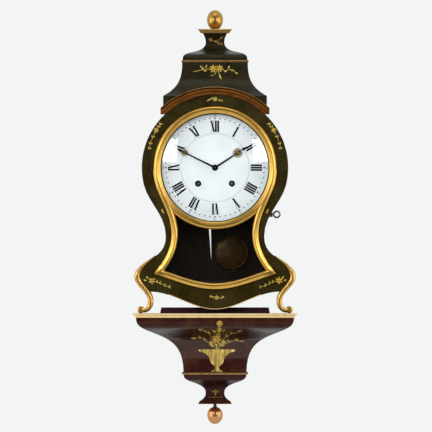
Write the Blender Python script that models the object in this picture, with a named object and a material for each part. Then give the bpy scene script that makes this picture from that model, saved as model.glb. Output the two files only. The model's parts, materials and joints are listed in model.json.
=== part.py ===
"""Neuchatel bracket clock: a waisted lacquered case with its movement, standing on its own wall bracket.

Metres, +Z up. The wall is the plane y = 0, the clock faces -Y, and z = 0 is the top of the bracket's shelf.
"""

import math

import bmesh
import bpy
from mathutils import Matrix, Vector
from mathutils.geometry import intersect_line_line_2d

# Clearances
GAP = 0.0003
RUN = 0.0005

# Case outline seen from the front
DIAL_HEIGHT = 0.3137
CASE_RADIUS = 0.1575
ROUND_END = math.radians(-14)
WAIST_HALF = 0.1058
WAIST_HEIGHT = 0.1656
HIP_HALF = 0.1623
HIP_HEIGHT = 0.0846
APRON_HALF = 0.1400
APRON_HEIGHT = 0.0470
APRON_LOW = 0.0090

# Case boards
WALL_GAP = 0.0010
CASE_DEPTH = 0.1393
BACK_BOARD = 0.0080
SIDE_BOARD = 0.0060
FRONT_BOARD = 0.0120
FLOOR_RISE = 0.0150
FLOOR_BOARD = 0.0080
SPLIT_FOOT = 0.1140
SPLIT_LENGTH = 0.1260
SPLIT_WIDTH = 0.0080
SPLIT_OFFSET = -0.0080
SPLIT_LEAN = -0.0055

# Arched cornice and hood
CORNICE_HALF = 0.1172
CORNICE_THICK = 0.0160
CORNICE_LIP = 0.0100
HOOD_HALF = 0.1115
HOOD_WAIST_HALF = 0.0706
HOOD_RISE = 0.0715
FASCIA_RISE = 0.0205
HOOD_BEAD = 0.0055
HOOD_BEAD_LIP = 0.0017
CROWN_RISE = 0.0578
CROWN_NECK_HALF = 0.0200
CROWN_TOP_HALF = 0.0260
CAP_RISE = 0.0090
CAP_LIP = 0.0108
FINIAL_RISE = 0.0405
FINIAL_RADIUS = 0.0174
FINIAL_NECK = 0.0086

# Bracket
BRACKET_HALF = 0.1700
BRACKET_DEPTH = 0.1600
BRACKET_BACK = 0.0080
BRACKET_RISE = 0.1165
BRACKET_WAIST_HALF = 0.0679
SHELF_THICK = 0.0090
SHELF_LIP = 0.0072
BRACKET_BEAD = 0.0062
BRACKET_BEAD_LIP = 0.0037
LOWER_RISE = 0.0590
LOWER_NECK_HALF = 0.0200
LOWER_LIP_HALF = 0.0342
DROP_STEM = 0.0100
DROP_STEM_RADIUS = 0.0041
DROP_RADIUS = 0.0170
SHELF_EDGE = 0.0080
BACK_INSET = 0.0010
UPSTAND_HALF = 0.1184
UPSTAND_RISE = 0.0125

# Brass feet
FOOT_THICK = 0.0098
FOOT_DEPTH = 0.0340
FOOT_LIP = 0.0030
FOOT_TOE_HALF = 0.1610
FOOT_NECK_HALF = 0.1372
SCROLL_RADIUS = 0.0069

# Door
DIAL_SIGHT = 0.1174
RING_OUTER = 0.1329
DOOR_JOIN = math.radians(-21)
DOOR_WAIST_HALF = 0.0931
DOOR_WAIST_HEIGHT = 0.1722
DOOR_CORNER_HALF = 0.1309
DOOR_CORNER_HEIGHT = 0.0860
DOOR_BOTTOM = 0.0522
SILL_WAVE = 0.35
DOOR_BAND = 0.0135
DOOR_THICK = 0.0124
DOOR_ROUND = 0.0030
REBATE = 0.0042
GLASS_THICK = 0.0020
GLASS_DOME = 0.0140
HINGE_RADIUS = 0.0025
HINGE_PIN = 0.0012
HINGE_KNUCKLE = 0.0100
HINGE_STRAP = 0.0080

# Lock at the right side of the case
LOCK_RISE = 0.0408
LOCK_SETBACK = 0.0103
LOCK_CASE = 0.0180
SPINDLE_RADIUS = 0.0030
HOOK_INNER = 0.0150
HOOK_OUTER = 0.0190
HOOK_WIDTH = 0.0024
HOOK_TIP = math.radians(20)
HOOK_HEEL = math.radians(62)
KEEPER_BAR = 0.0024
KEY_REACH = 0.0140
KEY_SHANK = 0.0019
KEY_BOW = 0.0086
KEY_BOW_WIRE = 0.0020

# Dial and hands
DIAL_RADIUS = 0.1205
DIAL_THICK = 0.0030
DIAL_SETBACK = 0.0220
WINDING_OFFSET = 0.0363
WINDING_DROP = 0.0344
WINDING_HOLE = 0.0056
DIAL_FOOT = 0.0500
HAND_THICK = 0.0010
HAND_SPACE = 0.0015
HAND_WIDTH = 0.0026
HAND_BOSS = 0.0068
HOUR_ROSETTE_RADIUS = 0.0092
MINUTE_ROSETTE_RADIUS = 0.0064
HOUR_ROSETTE = 0.0580
MINUTE_ROSETTE = 0.0724
HOUR_HAND_LENGTH = 0.0840
MINUTE_HAND_LENGTH = 0.0950
HOUR_HAND_ANGLE = math.radians(57.0)
MINUTE_HAND_ANGLE = math.radians(296.5)

# Movement
PLATE_HALF = 0.0720
PLATE_ABOVE = 0.0720
PLATE_BELOW = 0.0720
PLATE_THICK = 0.0030
PLATE_SPACE = 0.0420
MOTION_SPACE = 0.0235
PILLAR_RADIUS = 0.0040
SEAT_BOARD = 0.0080
ARBOR = 0.0012
WINDING_ARBOR = 0.0030
BARREL_RADIUS = 0.0245
BARREL_LENGTH = 0.0180
WHEEL_THICK = 0.0020
LAYER = 0.0048
INTERMEDIATE_OFFSET = 0.0340
INTERMEDIATE_RISE = 0.0020
THIRD_OFFSET = 0.0220
THIRD_RISE = 0.0180
ESCAPE_RADIUS = 0.0150
PALLET_CLEAR = 0.0042
CRUTCH_LENGTH = 0.0600
MOTION_DISTANCE = 0.0250
MINUTE_POST = 0.0015
CANNON_RADIUS = 0.0022
PIPE_WALL = 0.0010
BELL_RADIUS = 0.0360
BELL_WALL = 0.0024
BELL_CLEAR = 0.0100
HAMMER_OFFSET = 0.0520
HAMMER_RISE = 0.0600
HAMMER_HEAD = 0.0045
HAMMER_CLEAR = 0.0020

# Pendulum
PIVOT_RISE = 0.0573
PENDULUM_SETBACK = 0.0190
PENDULUM_CLEAR = 0.0166
ROD_RADIUS = 0.0015
STUD_RADIUS = 0.0016
BOB_RADIUS = 0.0350
BOB_HALF_THICK = 0.0075
NUT_RADIUS = 0.0045
NUT_RISE = 0.0060
SWING_REST = math.radians(8.5)

# Wheel teeth
BARREL_TEETH = 54
INTERMEDIATE_PINION = 6
INTERMEDIATE_TEETH = 48
CENTRE_PINION = 6
CENTRE_TEETH = 72
THIRD_PINION = 6
THIRD_TEETH = 60
ESCAPE_PINION = 6
ESCAPE_TEETH = 30
CANNON_TEETH = 10
MINUTE_TEETH = 30
MINUTE_PINION = 8
HOUR_TEETH = 32
ADDENDUM = 0.55
DEDENDUM = 0.95

# Depths worked out from the sizes above, measured along Y from the wall
CASE_BACK = -WALL_GAP
CASE_FRONT = CASE_BACK - CASE_DEPTH
SIDE_BACK = CASE_BACK - BACK_BOARD - GAP
SIDE_FRONT = CASE_FRONT + FRONT_BOARD + GAP
DOOR_BACK = CASE_FRONT - GAP
DOOR_FRONT = DOOR_BACK - DOOR_THICK
LOCK_HEIGHT = DOOR_WAIST_HEIGHT + LOCK_RISE
DIAL_FRONT = CASE_FRONT + DIAL_SETBACK
DIAL_BACK = DIAL_FRONT + DIAL_THICK
PLATE_FRONT = DIAL_BACK + MOTION_SPACE
PLATE_FRONT_INNER = PLATE_FRONT + PLATE_THICK
PLATE_BACK_INNER = PLATE_FRONT_INNER + PLATE_SPACE
PLATE_BACK = PLATE_BACK_INNER + PLATE_THICK
PENDULUM_Y = PLATE_BACK + PENDULUM_SETBACK

# Other places worked out from the sizes above
CORNICE_INNER = CASE_RADIUS + GAP
CORNICE_OUTER = CORNICE_INNER + CORNICE_THICK
CORNICE_ANGLE = math.asin(CORNICE_HALF / CORNICE_OUTER)
CORNICE_FRONT = CASE_FRONT - CORNICE_LIP
HINGE_X = -max(RING_OUTER, DOOR_CORNER_HALF) - GAP - HINGE_RADIUS
HINGE_Y = CASE_FRONT - GAP - HINGE_RADIUS
PIVOT_Z = DIAL_HEIGHT + PIVOT_RISE
FLOOR_Z = APRON_HEIGHT + FLOOR_RISE
FLOOR_TOP = FLOOR_Z + FLOOR_BOARD
BOB_Z = FLOOR_TOP + PENDULUM_CLEAR + NUT_RISE + GAP + BOB_RADIUS
SEAT_TOP = DIAL_HEIGHT - PLATE_BELOW - GAP
SMOOTH_ANGLE = math.radians(35)
ROUND = 32
DIAL_FACETS = 44
LEAF_LIMIT = 12
HIP_STEPS = 10
APRON_STEPS = 6
FOOT_STEPS = 5


def make_material(name, colour, roughness, metallic):
    """A Principled material in one plain colour."""
    material = bpy.data.materials.new(name)
    material.use_nodes = True
    shader = material.node_tree.nodes["Principled BSDF"]
    shader.inputs["Base Color"].default_value = (*colour, 1.0)
    shader.inputs["Roughness"].default_value = roughness
    shader.inputs["Metallic"].default_value = metallic
    return material


def remove_all_objects():
    """Start from an empty scene."""
    for item in list(bpy.data.objects):
        bpy.data.objects.remove(item, do_unlink=True)


def bezier(start, pull, push, end, count):
    """Points of one cubic curve, without its first point."""
    points = []
    for step in range(1, count + 1):
        t = step / count
        u = 1.0 - t
        weights = (u * u * u, 3 * u * u * t, 3 * u * t * t, t * t * t)
        corners = (start, pull, push, end)
        points.append(tuple(sum(w * c[i] for w, c in zip(weights, corners)) for i in (0, 1)))
    return points


def arc(centre, radius, first, last, count):
    """Points on an arc from the first to the last angle, both ends included."""
    points = []
    for step in range(count + 1):
        angle = first + (last - first) * step / count
        points.append((centre[0] + radius * math.cos(angle), centre[1] + radius * math.sin(angle)))
    return points


def offset_line(points, distance):
    """An open line moved sideways, to the right of its direction, by one distance or a list of them."""
    distances = distance if isinstance(distance, list) else [distance] * len(points)
    moved = []
    for i, (point, shift) in enumerate(zip(points, distances)):
        before = points[max(i - 1, 0)]
        after = points[min(i + 1, len(points) - 1)]
        along = Vector((after[0] - before[0], after[1] - before[1])).normalized()
        moved.append((point[0] + along.y * shift, point[1] - along.x * shift))
    return moved


def mirrored(points):
    """The same line on the left side, run backwards."""
    return [(-x, z) for x, z in reversed(points)]


def half_width(points, height):
    """Half-width at which a right-hand line passes the given height."""
    for low, high in zip(points[1:], points[:-1]):
        if min(low[1], high[1]) <= height <= max(low[1], high[1]) and low[1] != high[1]:
            share = (height - low[1]) / (high[1] - low[1])
            return low[0] + share * (high[0] - low[0])
    return points[-1][0]


def prism(outline, front, back):
    """A board cut to an outline in X and Z, with its thickness along Y."""
    bm = bmesh.new()
    near = [bm.verts.new((x, front, z)) for x, z in outline]
    far = [bm.verts.new((x, back, z)) for x, z in outline]
    bm.faces.new(near)
    bm.faces.new(list(reversed(far)))
    count = len(outline)
    for i in range(count):
        j = (i + 1) % count
        bm.faces.new((near[j], near[i], far[i], far[j]))
    bmesh.ops.recalc_face_normals(bm, faces=bm.faces)
    return bm


def box(x0, x1, y0, y1, z0, z1):
    """A box between two corners."""
    return prism([(x0, z0), (x1, z0), (x1, z1), (x0, z1)], y0, y1)


def loft(sections):
    """Rectangular sections joined upwards; each is half-width, front, back and height."""
    bm = bmesh.new()
    rings = []
    for half, front, back, height in sections:
        corners = ((-half, front), (half, front), (half, back), (-half, back))
        rings.append([bm.verts.new((x, y, height)) for x, y in corners])
    for lower, upper in zip(rings, rings[1:]):
        for i in range(4):
            j = (i + 1) % 4
            bm.faces.new((lower[i], lower[j], upper[j], upper[i]))
    bm.faces.new(list(reversed(rings[0])))
    bm.faces.new(rings[-1])
    bmesh.ops.recalc_face_normals(bm, faces=bm.faces)
    return bm


def turned(profile, centre, axis, segments=ROUND):
    """A profile of radius and length, spun about an axis through the centre."""
    bm = bmesh.new()
    sideways = Vector((1, 0, 0)) if axis != "X" else Vector((0, 0, 1))
    along = {"X": Vector((1, 0, 0)), "Y": Vector((0, 1, 0)), "Z": Vector((0, 0, 1))}[axis]
    verts = [bm.verts.new(Vector(centre) + sideways * r + along * d) for r, d in profile]
    closed = profile[0][0] > 0 and profile[-1][0] > 0
    edges = [bm.edges.new(pair) for pair in zip(verts, verts[1:])]
    if closed:
        edges.append(bm.edges.new((verts[-1], verts[0])))
    bmesh.ops.spin(bm, geom=verts + edges, cent=centre, axis=along, angle=2 * math.pi,
                   steps=segments, use_merge=True)
    bmesh.ops.remove_doubles(bm, verts=bm.verts, dist=1e-7)
    bmesh.ops.recalc_face_normals(bm, faces=bm.faces)
    return bm


def rod(radius, centre, axis, start, end, segments=12):
    """A round bar along an axis."""
    return turned([(0, start), (radius, start), (radius, end), (0, end)], centre, axis, segments)


def tube(inner, outer, centre, axis, start, end, segments=24):
    """A round bar with a bore."""
    profile = [(inner, start), (outer, start), (outer, end), (inner, end)]
    return turned(profile, centre, axis, segments)


def add_object(name, bm, material, origin=(0, 0, 0)):
    """Put a finished solid in the scene with its origin at the given place."""
    bmesh.ops.translate(bm, verts=bm.verts, vec=-Vector(origin))
    mesh = bpy.data.meshes.new(name)
    bm.to_mesh(mesh)
    bm.free()
    mesh.materials.append(material)
    mesh.shade_smooth()
    mesh.set_sharp_from_angle(angle=SMOOTH_ANGLE)
    item = bpy.data.objects.new(name, mesh)
    item.location = origin
    bpy.context.scene.collection.objects.link(item)
    return item


def combine(base, operation, others):
    """The solid left after joining other solids to a base, or cutting them from it."""
    mesh = bpy.data.meshes.new("base")
    base.to_mesh(mesh)
    base.free()
    item = bpy.data.objects.new("base", mesh)
    bpy.context.scene.collection.objects.link(item)
    helpers = []
    for other in others:
        tool_mesh = bpy.data.meshes.new("tool")
        other.to_mesh(tool_mesh)
        other.free()
        tool = bpy.data.objects.new("tool", tool_mesh)
        bpy.context.scene.collection.objects.link(tool)
        modifier = item.modifiers.new("boolean", "BOOLEAN")
        modifier.operation = operation
        modifier.solver = "EXACT"
        modifier.object = tool
        helpers.append(tool)
    bpy.context.view_layer.update()
    shaped = item.evaluated_get(bpy.context.evaluated_depsgraph_get())
    result = bmesh.new()
    result.from_mesh(shaped.to_mesh())
    shaped.to_mesh_clear()
    for helper in helpers + [item]:
        bpy.data.objects.remove(helper, do_unlink=True)
    bmesh.ops.remove_doubles(result, verts=result.verts, dist=1e-6)
    bmesh.ops.dissolve_degenerate(result, edges=result.edges, dist=1e-6)
    return result


def fuse(base, *others):
    """One solid from several that overlap."""
    return combine(base, "UNION", others)


def cut(base, *others):
    """A solid with others cut out of it."""
    return combine(base, "DIFFERENCE", others)


def solid_from_rings(rings):
    """Closed loops of points joined one to the next, with both ends capped."""
    bm = bmesh.new()
    loops = [[bm.verts.new(point) for point in ring] for ring in rings]
    count = len(loops[0])
    for first, second in zip(loops, loops[1:]):
        for i in range(count):
            j = (i + 1) % count
            bm.faces.new((first[i], first[j], second[j], second[i]))
    bm.faces.new(loops[0])
    bm.faces.new(list(reversed(loops[-1])))
    bmesh.ops.recalc_face_normals(bm, faces=bm.faces)
    return bm


def case_line(first_angle=math.pi / 2):
    """Right-hand outline of the case, from the arch down past waist and hip to the end of the apron."""
    points = arc((0, DIAL_HEIGHT), CASE_RADIUS, first_angle, ROUND_END, 20)
    start = points[-1]
    fall = start[1] - WAIST_HEIGHT
    pull = (start[0] + 0.35 * fall * math.sin(ROUND_END), start[1] - 0.35 * fall * math.cos(ROUND_END))
    waist = (WAIST_HALF, WAIST_HEIGHT)
    points += bezier(start, pull, (WAIST_HALF, WAIST_HEIGHT + 0.42 * fall), waist, 7)
    drop = WAIST_HEIGHT - HIP_HEIGHT
    swell = HIP_HALF - WAIST_HALF
    hip = (HIP_HALF, HIP_HEIGHT)
    points += bezier(waist, (WAIST_HALF, WAIST_HEIGHT - 0.58 * drop),
                     (HIP_HALF - 0.22 * swell, HIP_HEIGHT + 0.49 * drop), hip, HIP_STEPS)
    tuck = HIP_HALF - APRON_HALF
    lift = HIP_HEIGHT - APRON_HEIGHT
    points += bezier(hip, (HIP_HALF, HIP_HEIGHT - 0.32 * lift),
                     (APRON_HALF + 0.54 * tuck, APRON_HEIGHT + 0.45 * lift),
                     (APRON_HALF, APRON_HEIGHT), APRON_STEPS)
    return points


def apron_line():
    """Scalloped lower edge of the front board, from right to left."""
    points = []
    for step in range(1, 20):
        x = APRON_HALF * (1 - step / 10)
        wave = (1 - math.cos(math.pi * x / APRON_HALF)) / 2
        points.append((x, APRON_LOW + (APRON_HEIGHT - APRON_LOW) * wave))
    return points


def door_line():
    """Right-hand outer edge of the door below its ring, down to the lower corner."""
    start = (RING_OUTER * math.cos(DOOR_JOIN), DIAL_HEIGHT + RING_OUTER * math.sin(DOOR_JOIN))
    fall = start[1] - DOOR_WAIST_HEIGHT
    waist = (DOOR_WAIST_HALF, DOOR_WAIST_HEIGHT)
    pull = (start[0] - 0.4 * (start[0] - DOOR_WAIST_HALF), start[1] - 0.32 * fall)
    points = [start]
    points += bezier(start, pull, (DOOR_WAIST_HALF, DOOR_WAIST_HEIGHT + 0.36 * fall), waist, 6)
    drop = DOOR_WAIST_HEIGHT - DOOR_CORNER_HEIGHT
    swell = DOOR_CORNER_HALF - DOOR_WAIST_HALF
    points += bezier(waist, (DOOR_WAIST_HALF, DOOR_WAIST_HEIGHT - 0.47 * drop),
                     (DOOR_CORNER_HALF - 0.39 * swell, DOOR_CORNER_HEIGHT + 0.23 * drop),
                     (DOOR_CORNER_HALF, DOOR_CORNER_HEIGHT), 8)
    return points


def door_sill():
    """Ogee along the bottom of the door, from the right corner to the left."""
    rise = DOOR_CORNER_HEIGHT - DOOR_BOTTOM
    points = []
    for step in range(17):
        share = 1 - step / 8
        wave = (1 - math.cos(math.pi * share)) / 2
        lift = (1 - SILL_WAVE) * share ** 2 + SILL_WAVE * wave
        points.append((share * DOOR_CORNER_HALF, DOOR_BOTTOM + rise * lift))
    return points


def circle_crossing(points, centre, radius):
    """Index after which an open line crosses a circle, and the crossing point."""
    for i, (a, b) in enumerate(zip(points, points[1:])):
        start = math.dist(a, centre) - radius
        end = math.dist(b, centre) - radius
        if start * end <= 0 and start != end:
            share = start / (start - end)
            return i, (a[0] + share * (b[0] - a[0]), a[1] + share * (b[1] - a[1]))
    raise ValueError("line and circle do not meet")


def line_crossing(line, other):
    """Indices before the place where two open lines cross, and the crossing point."""
    for i, (a, b) in enumerate(zip(line, line[1:])):
        for j, (c, d) in enumerate(zip(other, other[1:])):
            point = intersect_line_line_2d(a, b, c, d)
            if point:
                return i, j, tuple(point)
    raise ValueError("lines do not cross")


def window_outline(inset):
    """The pendulum window, its edge lying the given distance inside the door's outer edge."""
    centre = (0, DIAL_HEIGHT)
    top_radius = RING_OUTER - (DOOR_BAND - inset)
    line = offset_line(door_line(), inset)
    sill = offset_line(door_sill(), inset)
    first, top = circle_crossing(line, centre, top_radius)
    last, foot, corner = line_crossing(line, sill)
    side = [top] + line[first + 1:last + 1] + [corner]
    top_angle = math.atan2(top[1] - DIAL_HEIGHT, top[0])
    crown = arc(centre, top_radius, -math.pi - top_angle, top_angle, 14)[1:-1]
    base = sill[foot + 1:len(sill) - foot - 1]
    return side + base + mirrored(side) + crown


def door_outline():
    """The whole outer edge of the door: the ring above, the keyhole shape below."""
    line = door_line()
    ring = arc((0, DIAL_HEIGHT), RING_OUTER, DOOR_JOIN, math.pi - DOOR_JOIN, 36)
    left = [(-x, z) for x, z in line[1:]]
    base = list(reversed(door_sill()))[1:-1]
    right = list(reversed(line[1:]))
    return ring + left + base + right


def cornice_solid():
    """Arched cornice: a moulded section carried round the dial's centre, its ends cut upright."""
    lip = CORNICE_LIP
    section = [
        (CORNICE_INNER, CASE_BACK),
        (CORNICE_INNER, CORNICE_FRONT + 0.4 * lip),
        (CORNICE_INNER + 0.2 * CORNICE_THICK, CORNICE_FRONT + 0.1 * lip),
        (CORNICE_INNER + 0.45 * CORNICE_THICK, CORNICE_FRONT),
        (CORNICE_INNER + 0.7 * CORNICE_THICK, CORNICE_FRONT + 0.1 * lip),
        (CORNICE_INNER + 0.82 * CORNICE_THICK, CORNICE_FRONT + 0.45 * lip),
        (CORNICE_OUTER, CORNICE_FRONT + 0.45 * lip),
        (CORNICE_OUTER, CASE_BACK),
    ]
    rings = []
    for step in range(21):
        ring = []
        for r, y in section:
            angle = math.asin(CORNICE_HALF / r) * (1 - step / 10)
            ring.append((r * math.sin(angle), y, DIAL_HEIGHT + r * math.cos(angle)))
        rings.append(ring)
    return solid_from_rings(rings)


def build_case(lacquer, oak, brass, copper):
    """Front board, sides, back and floor of the case, the cornice and the four feet."""
    right = case_line()
    outline = right + apron_line() + mirrored(right)[:-1]
    board = prism(outline, CASE_FRONT, CASE_FRONT + FRONT_BOARD)
    through = (CASE_FRONT - FRONT_BOARD, CASE_FRONT + 2 * FRONT_BOARD)
    dial_hole = rod(DIAL_SIGHT + REBATE, (0, 0, DIAL_HEIGHT), "Y", *through, DIAL_FACETS)
    window = prism(window_outline(DOOR_BAND - REBATE), *through)
    keeper_left, keeper_right = keeper_span()
    notch = box(keeper_left - 3 * REBATE, keeper_right + RUN, *through,
                LOCK_HEIGHT - 0.35 * HOOK_OUTER, LOCK_HEIGHT + HOOK_OUTER + RUN)
    add_object("case_front_board", cut(board, dial_hole, window, notch), lacquer)

    back = prism(right + mirrored(right)[:-1], CASE_BACK - BACK_BOARD, CASE_BACK)
    split_top = SPLIT_FOOT + SPLIT_LENGTH
    split = [(SPLIT_OFFSET, SPLIT_FOOT),
             (SPLIT_OFFSET + SPLIT_LEAN + SPLIT_WIDTH / 2, split_top),
             (SPLIT_OFFSET + SPLIT_LEAN - SPLIT_WIDTH / 2, split_top)]
    wedge = prism(split, CASE_BACK - 2 * BACK_BOARD, CASE_BACK + BACK_BOARD)
    add_object("case_back_board", cut(back, wedge), oak)

    shoulder = math.pi / 2 - CORNICE_ANGLE - GAP / CASE_RADIUS
    outer = case_line(shoulder)
    inner = offset_line(outer, SIDE_BOARD)
    side = outer + list(reversed(inner))
    keyhole = rod(SPINDLE_RADIUS + RUN, (0, lock_y(), LOCK_HEIGHT), "X", 0, CASE_RADIUS)
    add_object("case_right_side", cut(prism(side, SIDE_FRONT, SIDE_BACK), keyhole), lacquer)
    add_object("case_left_side", prism(mirrored(side), SIDE_FRONT, SIDE_BACK), lacquer)

    floor_half = min(half_width(inner, FLOOR_Z), half_width(inner, FLOOR_TOP)) - GAP
    add_object("case_floor", box(-floor_half, floor_half, SIDE_FRONT, SIDE_BACK, FLOOR_Z, FLOOR_TOP), oak)
    add_object("hood_cornice", cornice_solid(), copper)

    seat_half = min(half_width(inner, SEAT_TOP), half_width(inner, SEAT_TOP - SEAT_BOARD)) - GAP
    seat = box(-seat_half, seat_half, PLATE_FRONT - PLATE_THICK, PLATE_BACK + PLATE_THICK,
               SEAT_TOP - SEAT_BOARD, SEAT_TOP)
    add_object("movement_seat_board", seat, oak)

    foot = foot_outline(right)
    scroll = (FOOT_TOE_HALF, SCROLL_RADIUS + GAP)
    front = CASE_FRONT - FOOT_LIP
    spans = {"front": (front, front + FOOT_DEPTH), "rear": (CASE_BACK - FOOT_DEPTH, CASE_BACK)}
    for place, (near, far) in spans.items():
        for hand, sign in (("left", -1), ("right", 1)):
            shape = [(sign * x, z) for x, z in foot]
            curl = rod(SCROLL_RADIUS, (sign * scroll[0], 0, scroll[1]), "Y", near - RUN, far + RUN / 2, 14)
            add_object(f"{place}_{hand}_foot", fuse(prism(shape, near, far), curl), brass)


def foot_outline(right):
    """One brass foot: a strip that leaves the case's edge at the hip and ends in a scroll on the shelf."""
    followed = right[-(FOOT_STEPS + APRON_STEPS):]
    grow = [0.3 + 0.7 * min(1.0, i / FOOT_STEPS) for i in range(len(followed))]
    inner = offset_line(followed, -GAP)
    outer = offset_line(followed, [-GAP - FOOT_THICK * share for share in grow])
    heel = ((inner[-1][0] + outer[-1][0]) / 2, (inner[-1][1] + outer[-1][1]) / 2)
    toe_height = SCROLL_RADIUS * 0.75
    neck = (FOOT_NECK_HALF, heel[1] * 0.6)
    free = bezier(heel, (heel[0] - 0.75 * (heel[0] - neck[0]), heel[1] * 0.82),
                  (neck[0], heel[1] * 0.75), neck, 4)
    free += bezier(neck, (neck[0], 0.55 * neck[1]), (neck[0] + 0.3 * (FOOT_TOE_HALF - neck[0]), toe_height),
                   (FOOT_TOE_HALF - 0.6 * SCROLL_RADIUS, toe_height), 7)
    line = [heel] + free
    half = [FOOT_THICK * (0.47 - 0.19 * i / len(free)) for i in range(len(line))]
    inside = offset_line(line, half)[1:]
    outside = offset_line(line, [-h for h in half])[1:]
    return inner + inside + list(reversed(outside)) + list(reversed(outer))


def hood_section(half, height):
    """One section of the hood: flat against the back, sloping in front and at both sides."""
    slope = (CASE_DEPTH + CORNICE_LIP / 2 - 2 * CROWN_NECK_HALF) / (HOOD_HALF - CROWN_NECK_HALF)
    front = CASE_BACK - 2 * CROWN_NECK_HALF - (half - CROWN_NECK_HALF) * slope
    return (half, front, CASE_BACK, height)


def bracket_section(half, height):
    """One section of the bracket, in front of its back board."""
    slope = (BRACKET_DEPTH - 2 * LOWER_NECK_HALF) / (BRACKET_HALF - LOWER_NECK_HALF)
    front = -2 * LOWER_NECK_HALF - (half - LOWER_NECK_HALF) * slope
    return (half, front, -BRACKET_BACK - GAP, height)


def bead_loft(section, half, lip, bottom, rise):
    """A half-round bead round three sides of a section."""
    rings = []
    for step in range(7):
        angle = math.pi * step / 6
        rings.append(section(half + lip * math.sin(angle), bottom + rise * (1 - math.cos(angle)) / 2))
    return loft(rings)


def crown_line(bottom):
    """Half-widths and heights of the bell shaped crown, from its foot to its top."""
    def at(share, rise):
        return (CROWN_NECK_HALF + share * (HOOD_WAIST_HALF - CROWN_NECK_HALF), bottom + rise * CROWN_RISE)
    flare = CROWN_TOP_HALF - CROWN_NECK_HALF
    top = (CROWN_TOP_HALF, bottom + CROWN_RISE)
    points = [at(0.98, 0), at(0.98, 0.07)]
    points += bezier(at(0.98, 0.07), at(0.98, 0.256), at(0.64, 0.273), at(0.4, 0.334), 6)
    points += bezier(at(0.4, 0.334), at(0.14, 0.394), at(0, 0.498), at(0, 0.666), 6)
    points += bezier(at(0, 0.666), at(0, 0.81), (CROWN_NECK_HALF + 0.4 * flare, bottom + 0.88 * CROWN_RISE),
                     top, 4)
    return points


def build_hood(lacquer, gilt, brass):
    """Hood body on the cornice, its bead, crown, cap and ball finial."""
    seat = CORNICE_OUTER + GAP
    eave = DIAL_HEIGHT + math.sqrt(seat ** 2 - HOOD_HALF ** 2)
    fascia = eave + FASCIA_RISE
    top = fascia + HOOD_RISE
    skirt = DIAL_HEIGHT + 0.9 * (eave - DIAL_HEIGHT)
    points = [(HOOD_HALF, skirt), (HOOD_HALF, fascia)]
    hollow = HOOD_WAIST_HALF + 0.35 * (HOOD_HALF - HOOD_WAIST_HALF)
    points += bezier((HOOD_HALF, fascia), (hollow, fascia + 0.21 * HOOD_RISE),
                     (HOOD_WAIST_HALF, fascia + 0.42 * HOOD_RISE), (HOOD_WAIST_HALF, top), 12)
    body = loft([hood_section(x, z) for x, z in points])
    arch = rod(seat, (0, 0, DIAL_HEIGHT), "Y", 2 * CORNICE_FRONT, -CORNICE_FRONT, 120)
    add_object("hood_body", cut(body, arch), lacquer)

    bead = top + GAP
    add_object("hood_bead", bead_loft(hood_section, HOOD_WAIST_HALF, HOOD_BEAD_LIP, bead, HOOD_BEAD), gilt)
    crown = bead + HOOD_BEAD + GAP
    add_object("hood_crown", loft([hood_section(x, z) for x, z in crown_line(crown)]), lacquer)
    cap = crown + CROWN_RISE + GAP
    flare = [(0.3, 0), (0.6, 0.2), (0.78, 0.68), (1.0, 0.78), (1.0, 1.0)]
    rings = [hood_section(CROWN_TOP_HALF + CAP_LIP * out, cap + CAP_RISE * up) for out, up in flare]
    add_object("hood_cap", loft(rings), gilt)

    foot = cap + CAP_RISE + GAP
    neck = 0.1 * FINIAL_RISE
    half = (FINIAL_RISE - neck) / 2
    profile = [(0, 0), (1.15 * FINIAL_NECK, 0), (FINIAL_NECK, neck)]
    for step in range(2, 11):
        angle = math.pi * step / 10
        profile.append((FINIAL_RADIUS * math.sin(angle), neck + half * (1 - math.cos(angle))))
    profile[-1] = (0, FINIAL_RISE)
    centre = (0, CASE_BACK - CROWN_NECK_HALF, foot)
    add_object("top_finial", turned(profile, centre, "Z", 20), brass)


def bracket_lines():
    """Half-widths and heights of the bracket's upper and lower bodies, each from the top down."""
    def upper(share, drop):
        return (BRACKET_WAIST_HALF + share * (BRACKET_HALF - BRACKET_WAIST_HALF), top - drop * BRACKET_RISE)

    def lower(share, drop):
        return (LOWER_NECK_HALF + share * (BRACKET_WAIST_HALF - LOWER_NECK_HALF), neck - drop * LOWER_RISE)
    top = -SHELF_THICK - GAP
    first = [upper(1, 0)]
    first += bezier(upper(1, 0), upper(1, 0.143), upper(0.902, 0.178), upper(0.765, 0.233), 6)
    first += bezier(upper(0.765, 0.233), upper(0.334, 0.384), upper(0.011, 0.452), upper(0, 1), 12)
    neck = top - BRACKET_RISE - 2 * GAP - BRACKET_BEAD
    flare = LOWER_LIP_HALF - LOWER_NECK_HALF
    lip = (LOWER_LIP_HALF, neck - 0.978 * LOWER_RISE)
    second = [lower(1, 0)]
    second += bezier(lower(1, 0), lower(1, 0.176), lower(0.73, 0.227), lower(0.52, 0.286), 5)
    second += bezier(lower(0.52, 0.286), lower(0.23, 0.371), lower(0, 0.464), lower(0, 0.651), 6)
    second += bezier(lower(0, 0.651), lower(0, 0.803),
                     (LOWER_NECK_HALF + 0.28 * flare, neck - 0.871 * LOWER_RISE), lip, 5)
    second.append((LOWER_LIP_HALF, neck - LOWER_RISE))
    return first, second


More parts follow.
